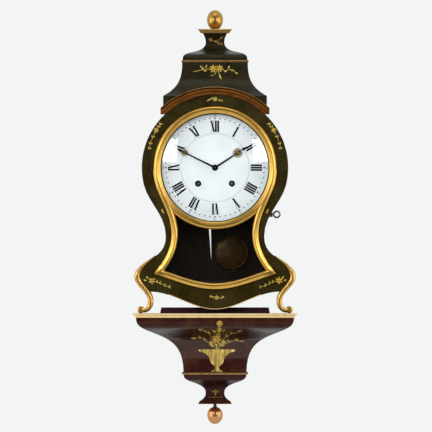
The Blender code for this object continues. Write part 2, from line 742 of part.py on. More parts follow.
def build_bracket(lacquer, oak, gilt, brass):
    """Wall bracket: back board, shelf with its moulding, the two bodies, bead and ball drop."""
    upper, lower = bracket_lines()
    add_object("bracket_body", loft([bracket_section(x, z) for x, z in reversed(upper)]), lacquer)
    add_object("bracket_lower_body", loft([bracket_section(x, z) for x, z in reversed(lower)]), lacquer)
    bead = upper[-1][1] - GAP - BRACKET_BEAD
    solid = bead_loft(bracket_section, BRACKET_WAIST_HALF, BRACKET_BEAD_LIP, bead, BRACKET_BEAD)
    add_object("bracket_bead", solid, gilt)

    edge = [(UPSTAND_HALF - 0.2 * UPSTAND_RISE, UPSTAND_RISE), (UPSTAND_HALF, 0)]
    edge += [(UPSTAND_HALF, upper[0][1])]
    edge += [(x - BACK_INSET, z) for x, z in upper + lower]
    add_object("bracket_back_board", prism(edge + mirrored(edge), -BRACKET_BACK, 0), lacquer)

    half = BRACKET_HALF - SHELF_EDGE
    front = -BRACKET_DEPTH + SHELF_EDGE
    shelf_back = -BRACKET_BACK - GAP
    add_object("bracket_shelf", box(-half, half, front, shelf_back, -SHELF_THICK, 0), oak)
    rings = []
    for lip, height in ((0, -SHELF_THICK), (0.35, -0.7 * SHELF_THICK), (0.45, -0.45 * SHELF_THICK),
                        (0.95, -0.3 * SHELF_THICK), (1.0, -0.12 * SHELF_THICK), (0.9, 0)):
        out = lip * SHELF_LIP
        rings.append((BRACKET_HALF + out, -BRACKET_DEPTH - out, shelf_back, height))
    inside = box(-half - GAP, half + GAP, front - GAP, shelf_back + SHELF_EDGE,
                 -2 * SHELF_THICK, SHELF_THICK)
    add_object("shelf_gilt_moulding", cut(loft(rings), inside), gilt)

    stem_top = lower[-1][1] - GAP
    profile = [(0, 0), (DROP_STEM_RADIUS, 0), (DROP_STEM_RADIUS, -DROP_STEM)]
    first = math.asin(DROP_STEM_RADIUS / DROP_RADIUS)
    centre_drop = DROP_STEM + DROP_RADIUS * math.cos(first)
    for step in range(1, 11):
        angle = first + (math.pi - first) * step / 10
        profile.append((DROP_RADIUS * math.sin(angle), -centre_drop + DROP_RADIUS * math.cos(angle)))
    profile[-1] = (0, -centre_drop - DROP_RADIUS)
    centre = (0, -LOWER_NECK_HALF, stem_top)
    add_object("bracket_finial", turned(profile, centre, "Z", 20), brass)


def keeper_span():
    """Left and right sides of the keeper, just outside the rebate of the window glass."""
    left = half_width(offset_line(door_line(), DOOR_BAND - REBATE), LOCK_HEIGHT + KEEPER_BAR) + 2 * GAP
    return left, left + KEEPER_BAR + HOOK_WIDTH + 2 * RUN


def round_front_edges(bm):
    """Ease the sharp edges on the front of the door frame."""
    edges = []
    for edge in bm.edges:
        at_front = all(abs(vert.co.y - DOOR_FRONT) < GAP / 10 for vert in edge.verts)
        if at_front and len(edge.link_faces) == 2 and edge.calc_face_angle(0) > math.radians(60):
            edges.append(edge)
    bmesh.ops.bevel(bm, geom=edges, offset=DOOR_ROUND, segments=1, profile=0.5, affect="EDGES",
                    clamp_overlap=True, material=-1)
    return bm


def build_door(gilt, glass, brass, steel):
    """Hinged door: keyhole frame, domed dial glass, flat window glass, knuckles and keeper."""
    pivot = (HINGE_X, HINGE_Y, DIAL_HEIGHT)
    centre = (0, 0, DIAL_HEIGHT)
    frame = prism(door_outline(), DOOR_FRONT, DOOR_BACK)
    past = (DOOR_FRONT - DOOR_THICK, DOOR_BACK + DOOR_THICK)
    seat = DOOR_BACK - GLASS_THICK - GAP
    frame = cut(frame, rod(DIAL_SIGHT, centre, "Y", *past, DIAL_FACETS),
                prism(window_outline(DOOR_BAND), *past),
                rod(DIAL_SIGHT + REBATE, centre, "Y", seat, past[1], DIAL_FACETS),
                prism(window_outline(DOOR_BAND - REBATE), seat, past[1]))
    frame = round_front_edges(frame)
    add_object("door_frame", frame, gilt, pivot)

    rim = DIAL_SIGHT - 2 * GAP
    bend = (rim ** 2 + GLASS_DOME ** 2) / (2 * GLASS_DOME)
    spread = math.asin(rim / bend)
    face = DOOR_BACK - GLASS_THICK
    dome = []
    for step in range(5):
        angle = spread * step / 4
        dome.append((bend * math.sin(angle), GLASS_DOME - bend * (1 - math.cos(angle))))
    profile = [(r, face - rise) for r, rise in dome]
    profile += [(DIAL_SIGHT + REBATE - GAP, face), (DIAL_SIGHT + REBATE - GAP, DOOR_BACK)]
    profile += [(r, DOOR_BACK - rise) for r, rise in reversed(dome)]
    add_object("dial_glass", turned(profile, centre, "Y", DIAL_FACETS), glass, pivot)
    pane = prism(window_outline(DOOR_BAND - REBATE + GAP), face, DOOR_BACK)
    add_object("window_glass", pane, glass, pivot)

    places = (("upper", DIAL_HEIGHT, RING_OUTER), ("lower", DOOR_CORNER_HEIGHT, DOOR_CORNER_HALF))
    for name, height, reach in places:
        axis = (HINGE_X, HINGE_Y, height)
        half = HINGE_KNUCKLE / 2
        barrel = tube(HINGE_PIN + GAP, HINGE_RADIUS, axis, "Z", -half, half, 12)
        edge = -reach - GAP
        if edge > HINGE_X + HINGE_RADIUS + GAP:
            leaf = box(HINGE_X + 0.8 * HINGE_RADIUS, edge, HINGE_Y - HINGE_PIN, HINGE_Y + HINGE_PIN,
                       height - half / 2, height + half / 2)
            barrel = fuse(barrel, leaf)
        add_object(f"{name}_hinge_knuckle", barrel, brass, axis)
        add_object(f"{name}_hinge_strap", hinge_strap(axis), brass)

    left, right = keeper_span()
    bar = KEEPER_BAR / 2
    bar_y = lock_y() - HOOK_INNER + RUN + bar
    staple = fuse(box(left, right, bar_y - bar, bar_y + bar, LOCK_HEIGHT - bar, LOCK_HEIGHT + bar),
                  box(left, left + bar, DOOR_BACK + GAP, bar_y, LOCK_HEIGHT - bar, LOCK_HEIGHT + bar),
                  box(right - bar, right, DOOR_BACK + GAP, bar_y, LOCK_HEIGHT - bar, LOCK_HEIGHT + bar))
    add_object("door_keeper", staple, steel, pivot)


def hinge_strap(axis):
    """Fixed half of a hinge: a plate on the front board with two barrels and the pin."""
    half = HINGE_KNUCKLE / 2 + RUN
    tall = half + 0.4 * HINGE_KNUCKLE
    back = CASE_FRONT - GAP
    face = back - HINGE_PIN
    x = axis[0]
    z = axis[2]
    pieces = [box(x - HINGE_STRAP, x - HINGE_RADIUS - RUN, face, back, z - tall, z + tall)]
    for low, high in ((-tall, -half), (half, tall)):
        pieces.append(box(x - HINGE_RADIUS - 2 * RUN, x, face, back, z + low, z + high))
        pieces.append(rod(HINGE_RADIUS, axis, "Z", low, high, 12))
    pieces.append(rod(HINGE_PIN, axis, "Z", -tall + RUN, tall - RUN, 8))
    return fuse(*pieces)


def lock_y():
    """Depth of the lock's spindle behind the front board."""
    return SIDE_FRONT + LOCK_SETBACK


def build_lock(brass, steel):
    """Lock on the right side: case, latch hook with its spindle, escutcheon and key."""
    y = lock_y()
    axis = (0, y, LOCK_HEIGHT)
    line = case_line()
    inner = offset_line(line, SIDE_BOARD)
    left, right = keeper_span()
    outside = half_width(line, LOCK_HEIGHT)
    half = LOCK_CASE / 2
    far = min(half_width(inner, LOCK_HEIGHT - half), half_width(inner, LOCK_HEIGHT + half)) - GAP
    near = right + 3 * RUN
    body = box(near, far, SIDE_FRONT, y + half, LOCK_HEIGHT - half, LOCK_HEIGHT + half)
    bore = rod(SPINDLE_RADIUS + GAP, axis, "X", 0, CASE_RADIUS)
    add_object("lock_case", cut(body, bore), brass)

    hook_left = left + KEEPER_BAR / 2 + RUN
    claw = arc((0, 0), HOOK_OUTER, HOOK_TIP, HOOK_HEEL, 8)
    claw += arc((0, 0), HOOK_INNER, HOOK_HEEL, HOOK_TIP, 8)
    hook = fuse(plate_across(claw, axis, hook_left, HOOK_WIDTH),
                plate_across(hook_arm(), axis, hook_left, HOOK_WIDTH),
                rod(SPINDLE_RADIUS, axis, "X", hook_left, outside))
    socket = rod(KEY_SHANK + GAP, axis, "X", outside - KEY_REACH, 2 * outside)
    add_object("lock_hook", cut(hook, socket), steel, (outside, y, LOCK_HEIGHT))

    lift = 2.0 * SPINDLE_RADIUS
    slope_room = max(half_width(line, LOCK_HEIGHT + lift) - outside, 0)
    plate_end = outside + slope_room + 2 * RUN
    boss = rod(lift - RUN, axis, "X", outside - lift, plate_end, 24)
    wall = prism(offset_line(line, -GAP) + [(0, APRON_HEIGHT)], y - LOCK_CASE, y + LOCK_CASE)
    bore = rod(SPINDLE_RADIUS + RUN, axis, "X", 0, 2 * outside)
    add_object("key_escutcheon", cut(boss, wall, bore), brass)

    bow_x = plate_end + RUN + KEY_BOW
    shank = rod(KEY_SHANK, axis, "X", outside - KEY_REACH + GAP, bow_x - KEY_BOW + KEY_BOW_WIRE)
    bow = turned(ring_profile(KEY_BOW, KEY_BOW_WIRE), (bow_x, y, LOCK_HEIGHT), "Y", 20)
    add_object("key", fuse(bow, shank), steel, (outside, y, LOCK_HEIGHT))


def ring_profile(outer, wire):
    """Six-sided section of a ring of round wire."""
    mid = outer - wire
    return [(mid + wire * math.cos(math.pi * k / 3), wire * math.sin(math.pi * k / 3)) for k in range(6)]


def hook_arm():
    """Arm from the spindle to the upper end of the latch claw."""
    wide = math.radians(8)
    reach = HOOK_INNER + (HOOK_OUTER - HOOK_INNER) / 2
    lean = HOOK_HEEL - wide / 2
    side = SPINDLE_RADIUS * 0.6
    across = (-math.sin(lean), math.cos(lean))
    along = (math.cos(lean), math.sin(lean))
    ends = []
    for out, sign in ((0, -1), (1, -1), (1, 1), (0, 1)):
        ends.append((along[0] * reach * out + across[0] * side * sign,
                     along[1] * reach * out + across[1] * side * sign))
    return ends


def plate_across(outline, axis, start, width):
    """A plate square to X; its outline runs forward and up from the axis."""
    rings = []
    for x in (start, start + width):
        rings.append([(x, axis[1] - forward, axis[2] + up) for forward, up in outline])
    return solid_from_rings(rings)


def wheel_teeth(centre, teeth, module, phase, front, back):
    """A toothed disc, pointed teeth on wheels and flat leaves on pinions; one tooth lies along the phase."""
    pitch = teeth * module / 2
    tip = pitch + ADDENDUM * module
    root = pitch - DEDENDUM * module
    step = 2 * math.pi / teeth
    pointed = ((root, -0.5), (tip, 0.0))
    leaf = ((root, -0.26), (tip, -0.10), (tip, 0.10), (root, 0.26))
    outline = []
    for k in range(teeth):
        for radius, share in leaf if teeth <= LEAF_LIMIT else pointed:
            angle = phase + (k + share) * step
            outline.append((centre[0] + radius * math.cos(angle), centre[1] + radius * math.sin(angle)))
    return prism(outline, front, back)


def mesh_pair(wheel, wheel_at, pinion, pinion_at):
    """Module and the two phases at which a wheel and a pinion stand in mesh."""
    module = 2 * math.dist(wheel_at, pinion_at) / (wheel + pinion)
    toward = math.atan2(pinion_at[1] - wheel_at[1], pinion_at[0] - wheel_at[0])
    return module, toward, toward + math.pi + math.pi / pinion


def level(layer):
    """Front and back of one layer of wheels behind the front plate."""
    front = PLATE_FRONT_INNER + 2 * RUN + layer * LAYER
    return front, front + WHEEL_THICK


def pinion_level(layer):
    """Front and back of the pinion that stands in one layer."""
    front, back = level(layer)
    return front - RUN, back + RUN


def arbor_rod(at, front=None, radius=None):
    """Arbor between the plates, or reaching further forward."""
    start = PLATE_FRONT_INNER + GAP if front is None else front
    return rod(radius or ARBOR, (at[0], 0, at[1]), "Y", start, PLATE_BACK_INNER - GAP, 8)


def build_train(brass, steel):
    """Going train from the barrel to the escape wheel, and the two barrels with their winding arbors."""
    centre = (0, DIAL_HEIGHT)
    going = (WINDING_OFFSET, DIAL_HEIGHT - WINDING_DROP)
    strike = (-WINDING_OFFSET, DIAL_HEIGHT - WINDING_DROP)
    middle = (INTERMEDIATE_OFFSET, DIAL_HEIGHT + INTERMEDIATE_RISE)
    third = (-THIRD_OFFSET, DIAL_HEIGHT + THIRD_RISE)
    escape = (0, DIAL_HEIGHT + 2 * THIRD_RISE)

    first = mesh_pair(BARREL_TEETH, going, INTERMEDIATE_PINION, middle)
    second = mesh_pair(INTERMEDIATE_TEETH, middle, CENTRE_PINION, centre)
    faster = mesh_pair(CENTRE_TEETH, centre, THIRD_PINION, third)
    last = mesh_pair(THIRD_TEETH, third, ESCAPE_PINION, escape)

    for name, at in (("going", going), ("strike", strike)):
        drum_front, _ = level(1)
        drum_back = level(2)[0] + BARREL_LENGTH
        drum = rod(BARREL_RADIUS, (at[0], 0, at[1]), "Y", drum_front + RUN, drum_back, 18)
        teeth = wheel_teeth(at, BARREL_TEETH, first[0], first[1], *level(1))
        bore = rod(WINDING_ARBOR + GAP, (at[0], 0, at[1]), "Y", PLATE_FRONT, PLATE_BACK, 16)
        origin = (at[0], drum_front, at[1])
        add_object(f"{name}_barrel", cut(fuse(drum, teeth), bore), brass, origin)
        square = 0.7 * WINDING_ARBOR
        shaft = arbor_rod(at, DIAL_BACK + 2 * square, WINDING_ARBOR)
        key_end = box(at[0] - square, at[0] + square, DIAL_FRONT + RUN, DIAL_BACK + 3 * square,
                      at[1] - square, at[1] + square)
        add_object(f"{name}_winding_arbor", fuse(shaft, key_end), steel, origin)

    wheel = fuse(arbor_rod(middle),
                 wheel_teeth(middle, INTERMEDIATE_PINION, first[0], first[2], *pinion_level(1)),
                 wheel_teeth(middle, INTERMEDIATE_TEETH, second[0], second[1], *level(6)))
    add_object("intermediate_wheel", wheel, brass, (middle[0], level(6)[0], middle[1]))

    wheel = fuse(arbor_rod(centre, hand_levels()[3]),
                 wheel_teeth(centre, CENTRE_TEETH, faster[0], faster[1], *level(0)),
                 wheel_teeth(centre, CENTRE_PINION, second[0], second[2], *pinion_level(6)))
    add_object("centre_wheel", wheel, brass, (0, level(0)[0], DIAL_HEIGHT))

    wheel = fuse(arbor_rod(third),
                 wheel_teeth(third, THIRD_PINION, faster[0], faster[2], *pinion_level(0)),
                 wheel_teeth(third, THIRD_TEETH, last[0], last[1], *level(7)))
    add_object("third_wheel", wheel, brass, (third[0], level(7)[0], third[1]))

    wheel = fuse(arbor_rod(escape),
                 wheel_teeth(escape, ESCAPE_PINION, last[0], last[2], *pinion_level(7)),
                 prism(escape_outline(escape), *level(4)))
    add_object("escape_wheel", wheel, brass, (0, level(4)[0], escape[1]))


def escape_outline(at):
    """Escape wheel with leaning, pointed teeth."""
    outline = []
    step = 2 * math.pi / ESCAPE_TEETH
    for k in range(ESCAPE_TEETH):
        for share, lean in ((0.82, 0.0), (1.0, 0.75), (1.0, 0.85)):
            angle = (k + lean) * step
            outline.append((at[0] + share * ESCAPE_RADIUS * math.cos(angle),
                            at[1] + share * ESCAPE_RADIUS * math.sin(angle)))
    return outline


def hand_levels():
    """Backs of the hour hand, minute hand and collet in front of the dial, and the end of the arbor."""
    hour = DIAL_FRONT - HAND_SPACE
    minute = hour - HAND_THICK - HAND_SPACE
    collet = minute - HAND_THICK - GAP
    return hour, minute, collet, collet - HAND_THICK


def hand_solid(length, angle, hub, bore, rosette, petals, back):
    """A slender hand with a round boss, a rosette and a barbed tip, turned clockwise from twelve."""
    thin = HAND_WIDTH / 2
    half = [(1.6 * thin, 0), (thin, 0.5 * length), (thin, 0.86 * length),
            (2.6 * thin, 0.885 * length), (0.5 * thin, length)]
    outline = half + mirrored(half)
    turn_cos = math.cos(angle)
    turn_sin = math.sin(angle)

    def placed(x, z):
        return (x * turn_cos + z * turn_sin, DIAL_HEIGHT - x * turn_sin + z * turn_cos)
    front = back - HAND_THICK
    spot = placed(0, rosette)
    hand = fuse(prism([placed(x, z) for x, z in outline], front, back),
                rod(hub, (0, 0, DIAL_HEIGHT), "Y", front - RUN / 2, back, 18),
                rod(petals, (spot[0], 0, spot[1]), "Y", front - RUN / 4, back + RUN / 4, 12))
    return cut(hand, rod(bore, (0, 0, DIAL_HEIGHT), "Y", 2 * back, 0, 14))


def build_motion_work(brass, steel, enamel):
    """Dial, cannon pinion, minute wheel, hour wheel, the two hands and their collet."""
    centre = (0, 0, DIAL_HEIGHT)
    middle = (0, DIAL_HEIGHT)
    stud = (0, DIAL_HEIGHT + MOTION_DISTANCE)
    hour_back, minute_back, collet_back, _ = hand_levels()
    first = mesh_pair(MINUTE_TEETH, stud, CANNON_TEETH, middle)
    second = mesh_pair(HOUR_TEETH, middle, MINUTE_PINION, stud)
    near = (PLATE_FRONT - 2 * RUN - WHEEL_THICK, PLATE_FRONT - 2 * RUN)
    far = (near[0] - 3 * RUN - WHEEL_THICK, near[0] - 3 * RUN)

    cannon = fuse(rod(CANNON_RADIUS, centre, "Y", minute_back - HAND_THICK, near[1]),
                  wheel_teeth(middle, CANNON_TEETH, first[0], first[2], *near))
    bore = rod(ARBOR + GAP, centre, "Y", 2 * minute_back, 0, 16)
    add_object("cannon_pinion", cut(cannon, bore), steel, (0, near[0], DIAL_HEIGHT))

    pinion = (far[0] - RUN, near[0] + RUN)
    wheel = fuse(wheel_teeth(stud, MINUTE_TEETH, first[0], first[1], *near),
                 wheel_teeth(stud, MINUTE_PINION, second[0], second[2], *pinion))
    bore = rod(MINUTE_POST + GAP, (0, 0, stud[1]), "Y", 2 * minute_back, 0, 16)
    add_object("minute_wheel", cut(wheel, bore), brass, (0, near[0], stud[1]))

    pipe = CANNON_RADIUS + GAP
    wheel = fuse(wheel_teeth(middle, HOUR_TEETH, second[0], second[1], *far),
                 rod(pipe + PIPE_WALL, centre, "Y", hour_back - HAND_THICK, far[1] - RUN / 2))
    bore = rod(pipe, centre, "Y", 2 * minute_back, 0, 20)
    add_object("hour_wheel", cut(wheel, bore), brass, (0, far[0], DIAL_HEIGHT))

    boss = pipe + PIPE_WALL + GAP
    hand = hand_solid(HOUR_HAND_LENGTH, HOUR_HAND_ANGLE, HAND_BOSS, boss, HOUR_ROSETTE,
                      HOUR_ROSETTE_RADIUS, hour_back)
    add_object("hour_hand", hand, steel, (0, hour_back, DIAL_HEIGHT))
    hand = hand_solid(MINUTE_HAND_LENGTH, MINUTE_HAND_ANGLE, 0.85 * HAND_BOSS, CANNON_RADIUS + GAP,
                      MINUTE_ROSETTE, MINUTE_ROSETTE_RADIUS, minute_back)
    add_object("minute_hand", hand, steel, (0, minute_back, DIAL_HEIGHT))
    collet = tube(ARBOR + GAP, 0.6 * HAND_BOSS, centre, "Y", collet_back - 2 * HAND_THICK, collet_back, 20)
    add_object("hand_collet", collet, brass, (0, collet_back, DIAL_HEIGHT))

    disc = rod(DIAL_RADIUS, centre, "Y", DIAL_FRONT, DIAL_BACK, DIAL_FACETS)
    feet = []
    for x in (-DIAL_FOOT, DIAL_FOOT):
        for z in (DIAL_HEIGHT - DIAL_FOOT, DIAL_HEIGHT + DIAL_FOOT):
            feet.append(rod(PILLAR_RADIUS / 2, (x, 0, z), "Y", DIAL_BACK - RUN, PLATE_FRONT - GAP, 8))
    disc = fuse(disc, *feet)
    holes = [rod(boss + RUN, centre, "Y", 2 * DIAL_FRONT, 0, 16)]
    for side in (-1, 1):
        at = (side * WINDING_OFFSET, 0, DIAL_HEIGHT - WINDING_DROP)
        holes.append(rod(WINDING_HOLE, at, "Y", 2 * DIAL_FRONT, 0, 16))
    add_object("dial", cut(disc, *holes), enamel)


def build_plates(brass):
    """The two movement plates; the back one carries the pillars."""
    top = DIAL_HEIGHT + PLATE_ABOVE
    bottom = DIAL_HEIGHT - PLATE_BELOW
    inset = 2 * PILLAR_RADIUS
    back = box(-PLATE_HALF, PLATE_HALF, PLATE_BACK_INNER, PLATE_BACK, bottom, top)
    pillars = []
    for x in (-PLATE_HALF + inset, PLATE_HALF - inset):
        for z in (bottom + inset, top - inset):
            pillars.append(rod(PILLAR_RADIUS, (x, 0, z), "Y", PLATE_FRONT_INNER + GAP,
                               PLATE_BACK - RUN, 10))
    pallet_hole = rod(ARBOR + RUN, (0, 0, PIVOT_Z), "Y", PLATE_FRONT, 0, 12)
    add_object("movement_back_plate", cut(fuse(back, *pillars), pallet_hole), brass)

    front = box(-PLATE_HALF, PLATE_HALF, PLATE_FRONT, PLATE_FRONT_INNER, bottom, top)
    stud_z = DIAL_HEIGHT + MOTION_DISTANCE
    post_end = PLATE_FRONT - 7 * RUN - 2 * WHEEL_THICK - RUN
    front = fuse(front, rod(MINUTE_POST, (0, 0, stud_z), "Y", post_end, PLATE_FRONT_INNER - RUN, 16))
    holes = [rod(ARBOR + RUN, (0, 0, DIAL_HEIGHT), "Y", DIAL_FRONT, 0, 16)]
    for side in (-1, 1):
        at = (side * WINDING_OFFSET, 0, DIAL_HEIGHT - WINDING_DROP)
        holes.append(rod(WINDING_ARBOR + GAP, at, "Y", DIAL_FRONT, 0, 16))
    add_object("movement_front_plate", cut(front, *holes), brass)


def swung(bm):
    """Turn a solid about the pendulum's pivot to where the photographed swing stands."""
    pivot = Vector((0, 0, PIVOT_Z))
    bmesh.ops.rotate(bm, cent=pivot, matrix=Matrix.Rotation(-SWING_REST, 3, "Y"), verts=bm.verts)
    return bm


def build_pendulum(brass, steel):
    """Cock, pendulum rod, bob and rating nut, and the pallet anchor with the crutch on its arbor."""
    pivot = (0, 0, PIVOT_Z)
    stud = STUD_RADIUS
    eye = 2.5 * stud
    drop_front = PENDULUM_Y - 2 * stud - RUN - PLATE_THICK
    arm = box(-eye, eye, PLATE_BACK + GAP, drop_front + PLATE_THICK, PIVOT_Z + eye, PIVOT_Z + 2 * eye)
    drop = box(-eye, eye, drop_front, drop_front + PLATE_THICK, PIVOT_Z - eye, PIVOT_Z + eye + RUN)
    pin = rod(stud, pivot, "Y", drop_front + RUN, PENDULUM_Y + 3 * stud, 16)
    add_object("pendulum_cock", fuse(arm, drop, pin), brass)

    at = (0, PENDULUM_Y, PIVOT_Z)
    nut_top = BOB_Z - BOB_RADIUS - GAP
    rod_end = nut_top - NUT_RISE - 2 * ROD_RADIUS
    shaft = rod(ROD_RADIUS, (0, PENDULUM_Y, 0), "Z", rod_end, PIVOT_Z - stud - GAP - RUN, 12)
    loop = tube(stud + GAP, eye, at, "Y", -2 * stud, 2 * stud, 20)
    add_object("pendulum_rod", swung(fuse(loop, shaft)), steel, at)

    lens = []
    for step in range(9):
        angle = math.pi * step / 8
        lens.append((BOB_RADIUS * math.sin(angle), -BOB_HALF_THICK * math.cos(angle)))
    lens[0] = (0, -BOB_HALF_THICK)
    lens[-1] = (0, BOB_HALF_THICK)
    bore = rod(ROD_RADIUS + GAP, (0, PENDULUM_Y, 0), "Z", rod_end, PIVOT_Z, 12)
    bob = cut(turned(lens, (0, PENDULUM_Y, BOB_Z), "Y", 28), bore)
    add_object("pendulum_bob", swung(bob), brass, at)
    nut = tube(ROD_RADIUS + GAP, NUT_RADIUS, (0, PENDULUM_Y, 0), "Z", nut_top - NUT_RISE, nut_top, 16)
    add_object("rating_nut", swung(nut), brass, at)

    crutch_y = (PLATE_BACK + drop_front) / 2
    arbor = rod(ARBOR, pivot, "Y", PLATE_FRONT_INNER + GAP, drop_front - GAP, 12)
    reach = ESCAPE_RADIUS + PALLET_CLEAR
    rise = PIVOT_RISE - 2 * THIRD_RISE
    tips = [(reach * math.sin(a), reach * math.cos(a) - rise) for a in (math.radians(40), math.radians(50))]
    half = [(0, PALLET_CLEAR), (0.6 * tips[1][0], 0.7 * PALLET_CLEAR), tips[1], tips[0],
            (0.5 * tips[0][0], -0.5 * PALLET_CLEAR), (0, -0.7 * PALLET_CLEAR)]
    outline = [(x, PIVOT_Z + z) for x, z in half + mirrored(half)[1:-1]]
    thick = PLATE_THICK / 2
    length = CRUTCH_LENGTH
    grip = ROD_RADIUS + GAP + 1.5 * thick
    pieces = [arbor,
              rod(2 * eye / 3, pivot, "Y", crutch_y - 1.2 * thick, crutch_y + 1.2 * thick, 16),
              box(-thick, thick, crutch_y - thick, crutch_y + thick, PIVOT_Z - length, PIVOT_Z - stud),
              box(-grip - thick, grip + thick, crutch_y - 1.1 * thick, crutch_y + 1.1 * thick,
                  PIVOT_Z - length - 2 * thick, PIVOT_Z - length + thick)]
    for side in (-grip, grip):
        pieces.append(rod(1.2 * thick, (side, 0, PIVOT_Z - length - thick / 2), "Y", crutch_y,
                          PENDULUM_Y + 2 * ROD_RADIUS, 10))
    anchor = fuse(prism(outline, *level(4)), *pieces)
    add_object("pallet_anchor", swung(anchor), steel, (0, crutch_y, PIVOT_Z))


def build_striking(brass, bronze, steel):
    """Bell on its stand above the plates, and the hammer."""
    middle_y = (PLATE_FRONT + PLATE_BACK) / 2
    plates_top = DIAL_HEIGHT + PLATE_ABOVE + GAP
    rim = plates_top + BELL_CLEAR
    rise = 0.72 * BELL_RADIUS
    post = PILLAR_RADIUS
    hole = post + GAP
    first = math.asin(hole / BELL_RADIUS)
    outer = []
    inner = []
    for step in range(6):
        angle = first + (math.pi / 2 - first) * step / 5
        outer.append((BELL_RADIUS * math.sin(angle), rise * math.cos(angle)))
        inner.append(((BELL_RADIUS - BELL_WALL) * math.sin(angle), (rise - BELL_WALL) * math.cos(angle)))
    inner[0] = (hole, inner[0][1])
    centre = (0, middle_y, rim)
    add_object("bell", turned(outer + list(reversed(inner)), centre, "Z", 18), bronze)

    bar = box(-post, post, PLATE_FRONT, PLATE_BACK, plates_top, plates_top + post)
    profile = [(0, plates_top + post / 2 - rim), (post, plates_top + post / 2 - rim),
               (post, outer[0][1] + GAP), (1.6 * post, outer[0][1] + GAP),
               (1.6 * post, outer[0][1] + post), (0, outer[0][1] + post)]
    add_object("bell_stand", fuse(bar, turned(profile, centre, "Z", 16)), steel)

    pivot = (HAMMER_OFFSET, DIAL_HEIGHT + HAMMER_RISE)
    head_x = BELL_RADIUS + HAMMER_CLEAR + HAMMER_HEAD
    head_z = rim + HAMMER_HEAD
    thin = HAMMER_HEAD / 4
    arm = prism([(pivot[0] + thin, pivot[1]), (head_x + thin, head_z), (head_x - thin, head_z),
                 (pivot[0] - thin, pivot[1])], middle_y - thin, middle_y + thin)
    head = rod(HAMMER_HEAD, (head_x, 0, head_z), "Y", middle_y - HAMMER_HEAD, middle_y + HAMMER_HEAD, 16)
    hammer = fuse(arm, head, arbor_rod(pivot))
    add_object("strike_hammer", hammer, steel, (pivot[0], middle_y, pivot[1]))


def main():
    """Build every piece of the clock."""
    remove_all_objects()
    lacquer = make_material("lacquer", (0.020, 0.018, 0.010), 0.30, 0.0)
    oak = make_material("oak", (0.110, 0.065, 0.035), 0.60, 0.0)
    aubergine = make_material("bracket lacquer", (0.045, 0.020, 0.018), 0.30, 0.0)
    gilt = make_material("gilt", (0.62, 0.42, 0.16), 0.28, 1.0)
    brass = make_material("brass", (0.70, 0.50, 0.20), 0.22, 1.0)
    copper = make_material("gilt copper", (0.42, 0.20, 0.09), 0.35, 1.0)
    glass = make_material("glass", (0.80, 0.85, 0.85), 0.05, 0.0)
    steel = make_material("blued steel", (0.05, 0.05, 0.06), 0.30, 1.0)
    enamel = make_material("enamel", (0.85, 0.87, 0.87), 0.15, 0.0)
    bronze = make_material("bell metal", (0.45, 0.32, 0.15), 0.30, 1.0)
    build_case(lacquer, oak, brass, copper)
    build_hood(lacquer, gilt, brass)
    build_bracket(aubergine, oak, gilt, brass)
    build_door(gilt, glass, brass, steel)
    build_lock(brass, steel)
    build_plates(brass)
    build_train(brass, steel)
    build_motion_work(brass, steel, enamel)
    build_pendulum(brass, steel)
    build_striking(brass, bronze, steel)


main()
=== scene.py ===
# %% [markdown]
# # A lacquered bracket clock
# The clock stands on its own wall bracket: a waisted case with a hood, a keyhole door, an enamel
# dial and gilt mouldings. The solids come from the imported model. This script gives them their
# finishes and makes the fine work that solids leave out.

# %% Load the frame
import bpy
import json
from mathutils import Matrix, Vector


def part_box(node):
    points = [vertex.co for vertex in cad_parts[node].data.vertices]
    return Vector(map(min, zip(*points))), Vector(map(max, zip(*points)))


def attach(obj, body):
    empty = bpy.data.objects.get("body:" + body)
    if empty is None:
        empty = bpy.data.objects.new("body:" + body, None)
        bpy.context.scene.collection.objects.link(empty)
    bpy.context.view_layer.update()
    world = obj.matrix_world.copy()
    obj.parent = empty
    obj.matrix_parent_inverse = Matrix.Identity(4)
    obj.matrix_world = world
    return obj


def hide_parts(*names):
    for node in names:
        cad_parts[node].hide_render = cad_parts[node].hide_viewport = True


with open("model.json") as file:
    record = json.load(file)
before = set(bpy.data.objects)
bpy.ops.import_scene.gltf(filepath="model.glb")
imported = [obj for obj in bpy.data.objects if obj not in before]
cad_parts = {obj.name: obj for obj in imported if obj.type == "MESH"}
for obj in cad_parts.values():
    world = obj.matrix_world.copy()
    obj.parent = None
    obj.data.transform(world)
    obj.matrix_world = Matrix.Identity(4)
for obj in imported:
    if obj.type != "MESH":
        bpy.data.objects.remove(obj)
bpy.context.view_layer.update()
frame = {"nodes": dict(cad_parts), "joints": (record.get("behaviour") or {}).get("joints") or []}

import json
import math
import bmesh
import bpy
from mathutils import Matrix, Vector
from mathutils.bvhtree import BVHTree
from mathutils.geometry import interpolate_bezier

MM = 0.001
nodes = frame["nodes"]
joints = {joint["name"]: joint for joint in frame["joints"]}
dial_z = Vector(joints["minute_hand_turn"]["pos_m"]).z
case_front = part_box("case_front_board")[0].y
dial_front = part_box("dial")[0].y
print("loaded", len(nodes), "nodes; the dial's centre is", round(dial_z, 4), "m above the shelf")

# %% [markdown]
# ## Colours and nodes
# A material is a tree of nodes, and writing every link by hand is long, so one function adds a
# node with its settings and links. Colours are written as sRGB hex values, as a painter's swatch
# would be, and turned to the linear values that a renderer needs.


# %% Colours and nodes
def linear(swatch):
    """A hex swatch as linear red, green, blue and alpha."""
    parts = [int(swatch[i:i + 2], 16) / 255 for i in (1, 3, 5)]
    return tuple(c / 12.92 if c <= 0.04045 else ((c + 0.055) / 1.055) ** 2.4 for c in parts) + (1.0,)


